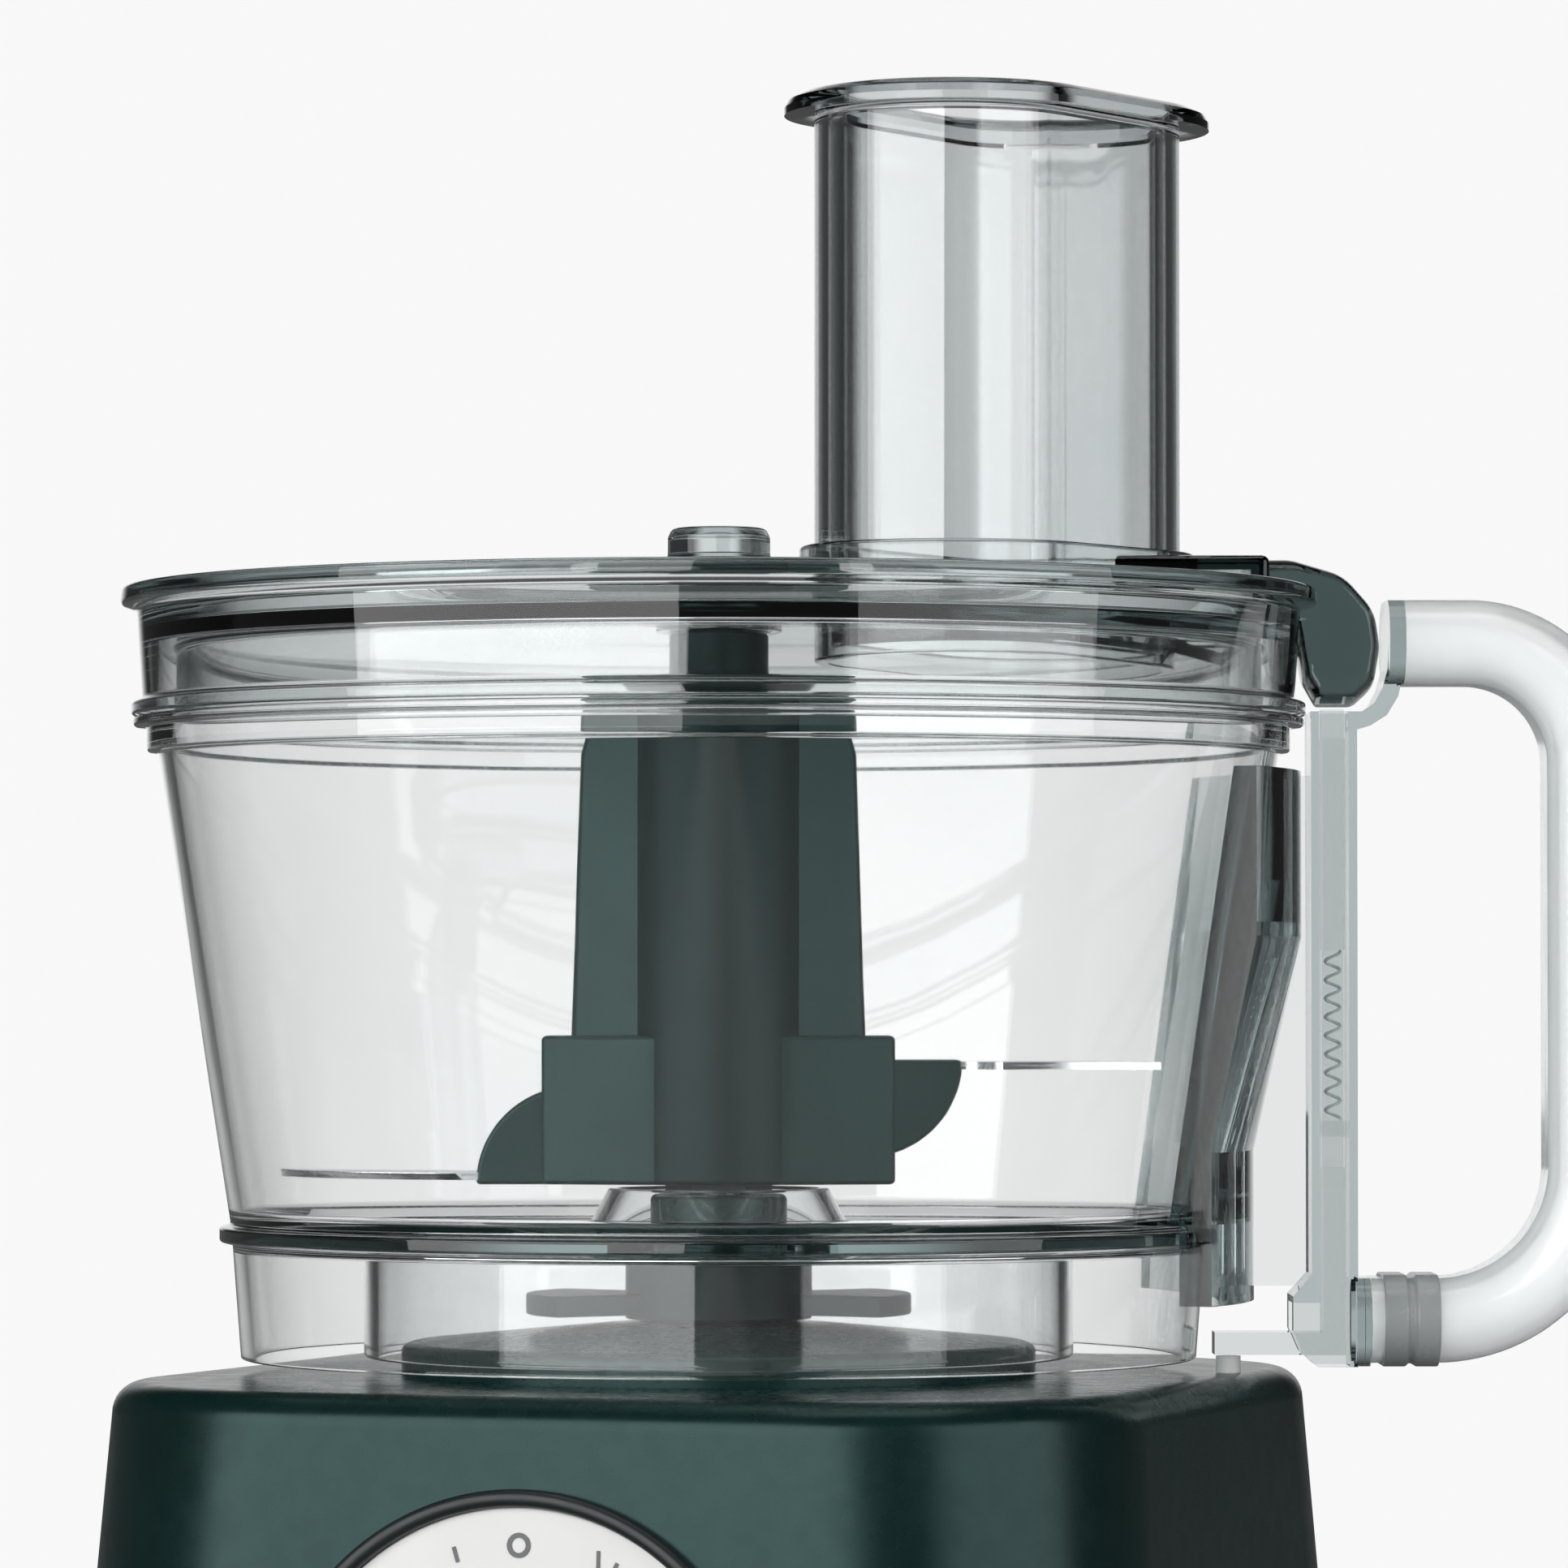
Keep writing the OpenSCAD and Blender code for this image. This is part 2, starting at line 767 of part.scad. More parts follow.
module grip_low_arm() {
    color([0.93, 0.94, 0.94, 0.6]) {
        grip_corner(low_corner_x, arm_low_z + low_corner_in, low_corner_in, grip_t, -90);
        arm(col_x1 + 2, low_corner_x, arm_low_z - grip_t, grip_t);
    }
}

module grip_ferrule() {
    t = grip_t + 1.2;
    color([0.75, 0.78, 0.78, 0.6])
        translate([106.4, 0, arm_low_z - grip_t / 2]) rotate([90, 0, 90])
            linear_extrude(8.9) difference() {
                stadium((grip_w - grip_t) / 2, t / 2);
                stadium((grip_w - grip_t) / 2, grip_t / 2);
            }
}

module interlock_rod() {
    color([0.75, 0.78, 0.78]) difference() {
        union() {
            upright(rod_half, [[rod_foot_x, rod_foot_z], [rod_x + rod_t, rod_foot_z],
                                  [rod_x + rod_t, 268], [rod_x, 268],
                                  [rod_x, rod_foot_z + rod_foot_t],
                                  [rod_foot_x, rod_foot_z + rod_foot_t]]);
            translate([rod_x, -2.5, 267]) cube([rod_t, 5, rod_top - 267]);
        }
        translate([rod_x - 1, -2.2, 199]) cube([rod_t + 2, 4.4, spring_top - 199]);
    }
}

// Points of the spring's wire: a helix of the given turns from z0 to z1.
spring_turns = 9;
spring_steps = 12;
spring_r = 1.2;
wire_r = 0.3;
function spring_ring(i) =
    let (n = spring_turns * spring_steps, a = 360 * i / spring_steps,
         z = pin_z + pin_t + wire_r + (spring_top - pin_z - pin_t - 2 * wire_r) * i / n)
    [for (k = [0 : 5]) let (b = 60 * k, r = spring_r + wire_r * cos(b))
        [r * cos(a), r * sin(a), z + wire_r * sin(b)]];

module rod_spring() {
    n = spring_turns * spring_steps;
    points = [for (i = [0 : n]) each spring_ring(i)];
    sides = [for (i = [0 : n - 1], k = [0 : 5])
        let (a = 6 * i + k, b = 6 * i + (k + 1) % 6) each [[a, b, b + 6], [a, b + 6, a + 6]]];
    ends = [[for (k = [5 : -1 : 0]) k], [for (k = [0 : 5]) 6 * n + k]];
    color("silver") translate([rod_x + rod_t / 2, 0, 0])
        polyhedron(points = points, faces = concat(sides, ends), convexity = 8);
}

// ---------- knife ----------

// Plan of a pair of wings: thickest beside the core, thinner at both ends.
module wing_plan(reach, end, near) {
    polygon([[-reach, -end], [-12, -near], [12, -near], [reach, -end],
             [reach, end], [12, near], [-12, near], [-reach, end]]);
}

module guard(x, z, r, side) {
    translate([x, guard_half, z]) rotate([90, 0, 0])
        linear_extrude(2 * guard_half) intersection() {
            circle(r = r);
            translate([side > 0 ? 0 : -r, side > 0 ? -r : 0]) square([r, r]);
        }
}

module blade_hub() {
    color([0.2, 0.27, 0.27]) difference() {
        union() {
            translate([0, 0, hub_z]) cylinder(r = core_r, h = hub_top - hub_z);
            intersection() {
                upright(wing_half, [[-23.6, block_top - 1], [23.6, block_top - 1],
                                       [22.1, hub_top - 5.5], [20.6, hub_top - 2.4],
                                       [17.6, hub_top - 0.8], [-17.6, hub_top - 0.8],
                                       [-20.6, hub_top - 2.4], [-22.1, hub_top - 5.5]]);
                translate([0, 0, block_top - 2]) linear_extrude(hub_top - block_top + 2)
                    wing_plan(24, 5.4, wing_half);
            }
            translate([0, 0, hub_z]) linear_extrude(block_top - hub_z)
                wing_plan(block_half_w, 7.6, block_half);
            guard(-23, hub_z, 15.8, -1);
            guard(23.5, high_blade_z + blade_t + 0.3, 15.6, 1);
            rotate_extrude() polygon([
                [0, hub_top - 1], [10, hub_top - 1], [10, 274.2], [21, 274.2],
                [21, 275.4], [12, 277.2], [spigot_r, 280.5], [spigot_r, spigot_top],
                [pin_r, spigot_top], [pin_r, pin_top - 1], [pin_r - 1, pin_top],
                [0, pin_top]
            ]);
        }
        translate([0, 0, hub_z - over]) cylinder(r = socket_r, h = socket_top + over - hub_z,
                                                 $fn = 6);
        translate([0, 0, hub_z]) cylinder(r = shaft_r + run, h = spindle_top + 1 - hub_z);
        translate([-45, -tongue_w / 2, low_blade_z]) cube([27, tongue_w, blade_t]);
        translate([18, -tongue_w / 2, high_blade_z]) cube([27, tongue_w, blade_t]);
    }
}

// A hooked blade that points along +X: convex cutting edge, hollow back, narrow tip.
module blade_outline(tip) {
    translate([18, -tongue_w / 2]) square([24, tongue_w]);
    difference() {
        intersection() {
            translate([40, -20]) square([tip, 36]);
            circle(r = tip);
            translate([30, -38]) circle(r = 50);
        }
        translate([50, -64]) circle(r = 53);
    }
}

module low_blade() {
    color([0.75, 0.77, 0.78]) translate([0, 0, low_blade_z]) rotate([0, 0, 180])
        linear_extrude(blade_t) blade_outline(low_tip);
}

module high_blade() {
    color([0.75, 0.77, 0.78]) translate([0, 0, high_blade_z])
        linear_extrude(blade_t) blade_outline(high_tip);
}

// ---------- lid and pusher ----------

module lid_bush() {
    color([0.12, 0.14, 0.14]) translate([0, 0, spigot_top + 0.5])
        ring(socket_wall_r - run, pin_r + run, 8.1);
}

// Half of the lid's domed top, from the boss outwards.
dome = [[8.3, 296.9], [11, 296.3], [30, 295.2], [48, 293.2], [64, 290.6], [76, 288],
        [plate_r, 285.6]];
// The raised edge, from the plate over the top and down the outside.
edge = [[85, 285.5], [87.5, 286], [91.5, 291], [93.5, lid_z], [95.6, lid_z],
        [lid_r, lid_z - 0.7], [lid_r, 289.2], [95.6, 288.6], [93.6, 288.4],
        [92.7, 274], [94.5, 273.5]];

// Everything at and below the outside of the lid.
module lid_space() {
    rotate_extrude() polygon(concat([[0, 297]], dome, edge, [[94.5, 262], [0, 262]]));
}

module lid() {
    under = [for (k = [len(dome) - 1 : -1 : 2]) dome[k] - [0, clear_t]];
    color([0.8, 0.85, 0.85, 0.35]) difference() {
        rotate_extrude() polygon(concat(
            [[0, 302], [7.2, 302], [8.3, 301]], dome, under,
            [[13, 294], [10.2, 293], [10.2, 288.3], [socket_wall_r, 288.3],
             [socket_wall_r, 296.7], [0, 296.7]]));
        at_tube() translate([0, 0, 280]) linear_extrude(20) stadium(tube_half, tube_r);
        translate([60, -12.8, 280]) cube([28, 25.6, 14.6]);
    }
}

module lid_rim() {
    color([0.8, 0.85, 0.85, 0.35]) rotate_extrude() polygon(concat(
        [[plate_r, 285.6]], edge,
        [[94.5, 271.5], [90.6, 271.5], [90.6, 283.3], [plate_r, 283.3]]));
}

// The ring on the underside of the lid that fits inside the bowl.
module lid_skirt() {
    color([0.8, 0.85, 0.85, 0.35]) translate([0, 0, 268.5])
        ring(85.5 + clear_t, 85.5, 283.3 - 268.5);
}

module tab_section() {
    polygon([
        [84, 287], [84, 296.9], [92, 296.9], [96.5, 296], [100.5, 294], [104, 290.8],
        [106, 287], [106.5, 283], [106.2, 279], [105, 275.8], [102.6, 273.4],
        [101.5, 273.1], [96.2, 273.1], [94, 277], [92, 288]
    ]);
}

// The tab over the handle, and the bridge from it to the feed tube.
module lid_tab() {
    tab_half = 8.5;
    color([0.8, 0.85, 0.85, 0.35]) difference() {
        union() {
            translate([0, tab_half, 0]) rotate([90, 0, 0]) linear_extrude(2 * tab_half)
                tab_section();
            translate([58, -15, 286.5]) cube([30, 30, 296.9 - 286.5]);
        }
        lid_space();
        at_tube() translate([0, 0, 280]) linear_extrude(20)
            stadium(tube_half, tube_r + 2.4);
        translate([60, -12.8, 280]) cube([25, 25.6, 14.6]);
        // The cam that frees the interlock rod as the lid turns.
        translate([95.5, 0, 0]) rotate([90, 0, 90]) linear_extrude(12)
            polygon([[3.5, 273], [-9, 273], [-9, 274.7], [3.5, 273.1]]);
    }
}

module feed_tube() {
    color([0.8, 0.85, 0.85, 0.35]) difference() {
        union() {
            difference() {
                at_tube() translate([0, 0, 286.5]) linear_extrude(12)
                    stadium(tube_half, tube_r + 2.4);
                lid_space();
            }
            at_tube() translate([0, 0, tube_foot]) linear_extrude(tube_z - tube_foot)
                stadium(tube_half, tube_r);
        }
        at_tube() translate([0, 0, tube_foot - 1]) linear_extrude(100)
            stadium(tube_half, tube_r - clear_t);
    }
}

module pusher() {
    color([0.85, 0.88, 0.88, 0.4]) at_tube() difference() {
        union() {
            translate([0, 0, pusher_foot])
                linear_extrude(pusher_top - pusher_foot - 1) stadium(tube_half, tube_r - clear_t - 0.5);
            translate([0, 0, pusher_top - pusher_cap]) linear_extrude(pusher_cap)
                stadium(tube_half, tube_r + 4.8);
        }
        translate([0, 0, pusher_foot + 2]) linear_extrude(100)
            stadium(tube_half, tube_r - clear_t - 2.5);
    }
}

housing();
back_wall();
deck();
cover_posts();
bottom_cover();
feet();
cover_screws();
dial_plate();
dial_bezel();
selector_switch();
control_board();
board_parts();
cord_grommet();
chassis();
motor_stator();
field_coils();
motor_top_bracket();
motor_lower_bush();
motor_upper_bush();
brush_holders();
carbon_brushes();
spindle_lower_bush();
spindle_upper_bush();
interlock_switch();
drive_belt();
interlock_plunger();
speed_knob();
selector_shaft();
motor_shaft();
rotor_core();
armature_winding();
commutator();
cooling_fan();
motor_pulley();
drive_spindle();
drive_pulley();
drive_coupling();
bowl();
bowl_skirt();
bowl_rib();
bowl_hub();
handle_frame();
handle_grip();
grip_top_arm();
grip_low_arm();
grip_ferrule();
rod_spring();
interlock_rod();
blade_hub();
low_blade();
high_blade();
lid_bush();
lid();
lid_rim();
lid_skirt();
lid_tab();
feed_tube();
pusher();
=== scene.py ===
"""Looks of a food processor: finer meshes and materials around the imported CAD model.

Outlines are in millimetres in the CAD model's frame, and solid() turns them into metres.
"""

from math import atan, atan2, cos, pi, radians, sin, sqrt, tan

import bmesh
import bpy
from mathutils import Matrix, Vector


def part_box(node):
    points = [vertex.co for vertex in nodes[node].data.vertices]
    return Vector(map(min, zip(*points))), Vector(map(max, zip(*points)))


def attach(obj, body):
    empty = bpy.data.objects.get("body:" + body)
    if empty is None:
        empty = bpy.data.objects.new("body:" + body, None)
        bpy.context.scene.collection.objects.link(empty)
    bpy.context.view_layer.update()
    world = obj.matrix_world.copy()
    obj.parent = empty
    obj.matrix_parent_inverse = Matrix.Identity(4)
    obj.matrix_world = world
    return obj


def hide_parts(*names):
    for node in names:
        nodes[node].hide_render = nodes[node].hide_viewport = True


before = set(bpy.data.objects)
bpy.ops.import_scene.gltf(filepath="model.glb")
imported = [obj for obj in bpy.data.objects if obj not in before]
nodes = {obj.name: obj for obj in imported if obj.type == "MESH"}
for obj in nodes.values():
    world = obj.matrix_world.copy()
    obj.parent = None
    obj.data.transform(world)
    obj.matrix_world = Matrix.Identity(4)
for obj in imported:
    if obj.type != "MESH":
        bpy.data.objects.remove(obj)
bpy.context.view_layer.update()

MM = 0.001
TURN_STEPS = 224


def edges(node):
    """The lowest and highest corner of a CAD node, in millimetres."""
    low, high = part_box(node)
    return low / MM, high / MM


# ---------- driving dimensions ----------

skirt_low = edges("bowl_skirt")[0]
bowl_high = edges("bowl")[1]
hub_low, hub_high = edges("blade_hub")
grip_low, grip_high = edges("handle_grip")
top_arm_z = edges("grip_top_arm")[1].z
low_arm = edges("grip_low_arm")[0]
pusher_low, pusher_high = edges("pusher")

BASE_YAW = radians(-20)
FLARE = 0.07
DECK_Z = skirt_low.z - 2.5
BASE_HALF = 84
BASE_CORNER = 45
DECK_EDGE = 5
SHELL = 3
TOWER_R = 11
DIAL_Z = 111
DIAL_R = 38.7
BEZEL_W = 2.7
INK_LOW = 0.3
INK_TOP = 0.52
KNOB_R = 25
RIM_Z = bowl_high.z
WALL_SLOPE = 11.7 / 75.5
CLEAR_T = 2.2
TUBE_MIDDLE = (45.2, 1.5)
TUBE_TURN = radians(55)
TUBE_HALF = 14
TUBE_R = 21.85
GRIP_T = 13.6
GRIP_TOP_CORNER = 12.5
GRIP_LOW_CORNER = 18
GRIP_START_X = 110
GRIP_W = grip_high.y - grip_low.y


def half_at(z):
    """Half width of the base at height z."""
    return BASE_HALF + (DECK_Z - z) * FLARE


def wall_at(z):
    """Outer radius of the bowl at height z."""
    return 78.4 + (z - 190) * WALL_SLOPE


AT_BASE = Matrix.Rotation(BASE_YAW, 4, "Z")
AT_DIAL = (
    AT_BASE
    @ Matrix.Translation((0, -half_at(DIAL_Z), DIAL_Z))
    @ Matrix.Rotation(pi / 2 - atan(FLARE), 4, "X")
)
AT_TUBE = Matrix.Translation((*TUBE_MIDDLE, 0)) @ Matrix.Rotation(TUBE_TURN, 4, "Z")
UPRIGHT = Matrix.Rotation(pi / 2, 4, "X")


# ---------- mesh tools ----------


def rounded(corners, steps=6):
    """A closed outline. Each corner is (x, y) or (x, y, radius), and a radius rounds it."""
    points = []
    for i, corner in enumerate(corners):
        here = Vector(corner[:2])
        if len(corner) == 2:
            points.append(tuple(here))
            continue
        to_last = Vector(corners[i - 1][:2]) - here
        to_next = Vector(corners[(i + 1) % len(corners)][:2]) - here
        half = to_last.angle(to_next) / 2
        reach = min(corner[2] / tan(half), 0.49 * to_last.length, 0.49 * to_next.length)
        radius = reach * tan(half)
        inward = (to_last.normalized() + to_next.normalized()).normalized()
        middle = here + inward * radius / sin(half)
        first = here + to_last.normalized() * reach - middle
        last = here + to_next.normalized() * reach - middle
        start = atan2(first.y, first.x)
        turn = (atan2(last.y, last.x) - start + pi) % (2 * pi) - pi
        for k in range(steps + 1):
            a = start + turn * k / steps
            points.append((middle.x + radius * cos(a), middle.y + radius * sin(a)))
    return points


def circle(radius, steps=TURN_STEPS, middle=(0, 0)):
    turns = [2 * pi * k / steps for k in range(steps)]
    return [(middle[0] + radius * cos(a), middle[1] + radius * sin(a)) for a in turns]


def stadium(half, radius, steps=40):
    """A slot's outline along X: two half circles, joined by straight sides."""
    points = []
    for side in (1, -1):
        for k in range(steps + 1):
            a = pi * k / steps - side * pi / 2
            points.append((side * half + radius * cos(a), radius * sin(a)))
    return points


def solid(name, points, faces, place=Matrix.Identity(4)):
    """A mesh object from points in millimetres, with doubled points merged and normals outward."""
    mesh = bpy.data.meshes.new(name)
    mesh.from_pydata([(place @ Vector(p)) * MM for p in points], [], faces)
    work = bmesh.new()
    work.from_mesh(mesh)
    bmesh.ops.remove_doubles(work, verts=work.verts, dist=1e-7)
    bmesh.ops.recalc_face_normals(work, faces=work.faces)
    work.to_mesh(mesh)
    work.free()
    piece = bpy.data.objects.new(name, mesh)
    bpy.context.scene.collection.objects.link(piece)
    return piece


def skin(name, rings, loop=False, place=Matrix.Identity(4)):
    """A closed solid through rings of points. A loop's last ring is joined to its first."""
    size, count = len(rings[0]), len(rings)
    faces = []
    for a in range(count if loop else count - 1):
        b = (a + 1) % count
        for i in range(size):
            j = (i + 1) % size
            faces.append((a * size + i, a * size + j, b * size + j, b * size + i))
    if not loop:
        faces.append(tuple(reversed(range(size))))
        faces.append(tuple(range((count - 1) * size, count * size)))
    return solid(name, [p for ring in rings for p in ring], faces, place)


def lathe(name, outline, steps=TURN_STEPS, start=0, turn=2 * pi, place=Matrix.Identity(4)):
    """A closed (radius, height) outline turned round Z."""
    whole = turn == 2 * pi
    angles = [start + turn * k / steps for k in range(steps if whole else steps + 1)]
    rings = [[(r * cos(a), r * sin(a), z) for r, z in outline] for a in angles]
    return skin(name, rings, loop=whole, place=place)


def prism(name, outline, low, high, place=Matrix.Identity(4)):
    """A flat outline raised from one height to another."""
    return skin(name, [[(x, y, z) for x, y in outline] for z in (low, high)], place=place)


def applied(piece):
    """The piece with its modifiers worked into its mesh."""
    graph = bpy.context.evaluated_depsgraph_get()
    mesh = bpy.data.meshes.new_from_object(piece.evaluated_get(graph))
    piece.modifiers.clear()
    piece.data = mesh
    return piece


def bevelled(piece, width, segments=3, angle=35):
    """The piece with its sharp edges rounded."""
    bevel = piece.modifiers.new("bevel", "BEVEL")
    bevel.width = width * MM
    bevel.segments = segments
    bevel.limit_method = "ANGLE"
    bevel.angle_limit = radians(angle)
    bevel.use_clamp_overlap = True
    return applied(piece)


def combined(piece, operation, others):
    for other in others:
        boolean = piece.modifiers.new("boolean", "BOOLEAN")
        boolean.operation = operation
        boolean.solver = "MANIFOLD"
        boolean.object = other
        applied(piece)
        bpy.data.objects.remove(other)
    return piece


def joined(piece, *others):
    return combined(piece, "UNION", others)


def cut(piece, *others):
    return combined(piece, "DIFFERENCE", others)


def smoothed(piece, angle=30):
    """Smooth shading with flat faces kept flat."""
    piece.data.shade_smooth()
    piece.data.set_sharp_from_angle(angle=radians(angle))
    weighted = piece.modifiers.new("weighted", "WEIGHTED_NORMAL")
    weighted.keep_sharp = True
    return applied(piece)


def placed(piece, body, slot, material, *replaced):
    """A finished piece: shaded, on its body, and standing for the CAD nodes named."""
    smoothed(piece)
    piece.data.materials.clear()
    piece.data.materials.append(material)
    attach(piece, body)
    if replaced:
        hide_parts(*replaced)
    return piece


# ---------- material tools ----------


class Shader:
    """A Principled material with its texture coordinates in metres on the object."""

    def __init__(self, name, **values):
        self.material = bpy.data.materials.new(name)
        self.material.use_nodes = True
        self.tree = self.material.node_tree
        self.shader = self.tree.nodes["Principled BSDF"]
        self.place = self.tree.nodes.new("ShaderNodeTexCoord").outputs["Object"]
        for socket, value in values.items():
            self.shader.inputs[socket.replace("_", " ")].default_value = value

    def node(self, kind, **settings):
        made = self.tree.nodes.new(kind)
        for name, value in settings.items():
            setattr(made, name, value)
        return made

    def link(self, output, socket):
        self.tree.links.new(output, socket)

    def stretched(self, scale):
        """Texture coordinates scaled by a different amount along each axis."""
        mapping = self.node("ShaderNodeMapping")
        mapping.inputs["Scale"].default_value = scale
        self.link(self.place, mapping.inputs["Vector"])
        return mapping.outputs["Vector"]

    def noise(self, scale, detail=3, place=None):
        """Noise with features of about 1 / scale metres."""
        made = self.node("ShaderNodeTexNoise")
        made.inputs["Scale"].default_value = scale
        made.inputs["Detail"].default_value = detail
        self.link(place or self.place, made.inputs["Vector"])
        return made.outputs["Fac"]

    def ranged(self, value, low, high, start=0.35, end=0.65):
        """A texture's value from start to end carried to low to high."""
        made = self.node("ShaderNodeMapRange")
        made.inputs["From Min"].default_value = start
        made.inputs["From Max"].default_value = end
        made.inputs["To Min"].default_value = low
        made.inputs["To Max"].default_value = high
        self.link(value, made.inputs["Value"])
        return made.outputs["Result"]

    def colours(self, value, *stops):
        """A colour ramp: each stop is (position, (r, g, b))."""
        ramp = self.node("ShaderNodeValToRGB").color_ramp
        node = self.tree.nodes[-1]
        while len(ramp.elements) < len(stops):
            ramp.elements.new(0.5)
        for element, (position, colour) in zip(ramp.elements, stops):
            element.position = position
            element.color = (*colour, 1)
        self.link(value, node.inputs["Fac"])
        self.link(node.outputs["Color"], self.shader.inputs["Base Color"])

    def rough(self, value):
        self.link(value, self.shader.inputs["Roughness"])

    def bumped(self, value, strength, depth):
        """Relief of the given depth in metres."""
        bump = self.node("ShaderNodeBump")
        bump.inputs["Strength"].default_value = strength
        bump.inputs["Distance"].default_value = depth
        self.link(value, bump.inputs["Height"])
        self.link(bump.outputs["Normal"], self.shader.inputs["Normal"])


def moulded(name, colour, rough, grain=2500, depth=0.0000015, spread=0.10, **values):
    """Moulded opaque plastic: slight mottling, satin patches and a fine spark-eroded grain."""
    made = Shader(name, **values)
    dark = tuple(c * (1 - spread) for c in colour)
    light = tuple(min(1, c * (1 + spread)) for c in colour)
    made.colours(made.noise(60), (0.35, dark), (0.65, light))
    made.rough(made.ranged(made.noise(250), rough - 0.02, rough + 0.03))
    made.bumped(made.noise(grain, 2), 0.35, depth)
    return made.material


def clear_plastic(name, tint, density, rough=0.02, waves=0.00004, clear=1):
    """Clear plastic: faint flow waves, wiping marks, and a tint that deepens with thickness."""
    made = Shader(name, Transmission_Weight=clear, IOR=1.49)
    made.colours(made.noise(30), (0.3, (0.985, 0.99, 0.99)), (0.7, (1, 1, 1)))
    wiped = made.noise(900, 2, made.stretched((1, 1, 0.12)))
    made.rough(made.ranged(wiped, rough * 0.6, rough * 1.6))
    made.bumped(made.noise(45, 1), 0.6, waves)
    absorb = made.node("ShaderNodeVolumeAbsorption")
    absorb.inputs["Color"].default_value = (*tint, 1)
    absorb.inputs["Density"].default_value = density
    output = made.tree.nodes["Material Output"]
    made.link(absorb.outputs["Volume"], output.inputs["Volume"])
    shade = made.node("ShaderNodeBsdfTransparent")
    shade.inputs["Color"].default_value = (0.93, 0.95, 0.95, 1)
    mix = made.node("ShaderNodeMixShader")
    path = made.node("ShaderNodeLightPath")
    made.link(path.outputs["Is Shadow Ray"], mix.inputs["Fac"])
    made.link(made.shader.outputs["BSDF"], mix.inputs[1])
    made.link(shade.outputs["BSDF"], mix.inputs[2])
    made.link(mix.outputs["Shader"], output.inputs["Surface"])
    return made.material


def metal(name, colour, rough, stretch=(1, 1, 1), scale=1500, depth=0.000004, **values):
    """Metal with drawing or grinding marks along the unstretched axes."""
    made = Shader(name, **{"Metallic": 1, **values})
    marks = made.noise(scale, 3, made.stretched(stretch))
    made.colours(marks, (0.3, tuple(c * 0.9 for c in colour)), (0.7, colour))
    made.rough(made.ranged(marks, rough - 0.05, rough + 0.08))
    made.bumped(marks, 0.5, depth)
    return made.material


def banded(name, first, second, scale, metallic, rough):
    """Windings or a lamination stack: fine bands across Z."""
    made = Shader(name, Metallic=metallic)
    wave = made.node("ShaderNodeTexWave", bands_direction="Z")
    wave.inputs["Scale"].default_value = scale
    wave.inputs["Distortion"].default_value = 0.6
    made.link(made.place, wave.inputs["Vector"])
    made.colours(wave.outputs["Fac"], (0.3, first), (0.7, second))
    made.rough(made.ranged(made.noise(500), rough - 0.05, rough + 0.08))
    made.bumped(wave.outputs["Fac"], 0.6, 0.0001)
    return made.material


GLEAM = (0.62, 1, 0.97, 1)
FINE_GRAIN = 0.0000006
base_plastic = moulded("base_plastic", (0.004, 0.017, 0.0155), 0.27, Specular_IOR_Level=0.40,
                       Specular_Tint=GLEAM)
dark_plastic = moulded("dark_plastic", (0.012, 0.017, 0.018), 0.4)
hub_plastic = moulded("hub_plastic", (0.006, 0.020, 0.018), 0.33, depth=FINE_GRAIN,
                      Specular_IOR_Level=0.34, Specular_Tint=GLEAM)
core_plastic = moulded("core_plastic", (0.003, 0.009, 0.0095), 0.38, depth=FINE_GRAIN,
                       Specular_IOR_Level=0.2, Specular_Tint=GLEAM)
knob_plastic = moulded("knob_plastic", (0.03, 0.045, 0.045), 0.35)
rubber = moulded("rubber", (0.012, 0.012, 0.012), 0.75, grain=1500, depth=0.00003)
dial_white = moulded("dial_white", (0.88, 0.88, 0.865), 0.32, spread=0.015)
dial_ink = moulded("dial_ink", (0.16, 0.165, 0.17), 0.45)
white_plastic = moulded("white_plastic", (0.75, 0.75, 0.73), 0.35, spread=0.03)
carbon = moulded("carbon", (0.02, 0.02, 0.021), 0.6, grain=2500)
board_green = moulded("board_green", (0.02, 0.10, 0.05), 0.35, grain=700, spread=0.35)
component = moulded("component", (0.05, 0.07, 0.13), 0.4, spread=0.4)
bowl_clear = clear_plastic("bowl_clear", (0.25, 0.42, 0.42), 14)
lid_clear = clear_plastic("lid_clear", (0.22, 0.34, 0.35), 46)
pusher_clear = clear_plastic("pusher_clear", (0.30, 0.36, 0.38), 85)
# The tab's absorption is partly the plastic's own teal tint and partly painted shade: denser and
# darker than the lid's, to stand in for the dark refraction of the thick tab.
tab_tint_painted_shade = clear_plastic("tab_tint_painted_shade", (0.16, 0.27, 0.27), 190)
# The handle frame's absorption is partly the plastic's own teal tint and partly painted shade:
# raised so the thick bracket comes out dark, standing in for the darkness of its refraction.
frame_tint_painted_shade = clear_plastic("frame_tint_painted_shade", (0.20, 0.32, 0.33), 60)
ferrule_grey = moulded("ferrule_grey", (0.34, 0.36, 0.36), 0.25)
grip_clear = clear_plastic("grip_clear", (0.75, 0.80, 0.80), 6, rough=0.12, clear=0.6)
steel = metal("steel", (0.62, 0.63, 0.64), 0.25)
spring_steel = metal("spring_steel", (0.85, 0.86, 0.86), 0.5, Metallic=0.4)
blade_steel = metal("blade_steel", (0.66, 0.67, 0.68), 0.22, stretch=(0.04, 1, 1), scale=2500)
bronze = metal("bronze", (0.55, 0.38, 0.18), 0.4)
copper_wire = banded("copper_wire", (0.45, 0.16, 0.06), (0.62, 0.25, 0.10), 700, 1, 0.35)
laminated = banded("laminated", (0.20, 0.20, 0.21), (0.36, 0.36, 0.37), 400, 1, 0.45)


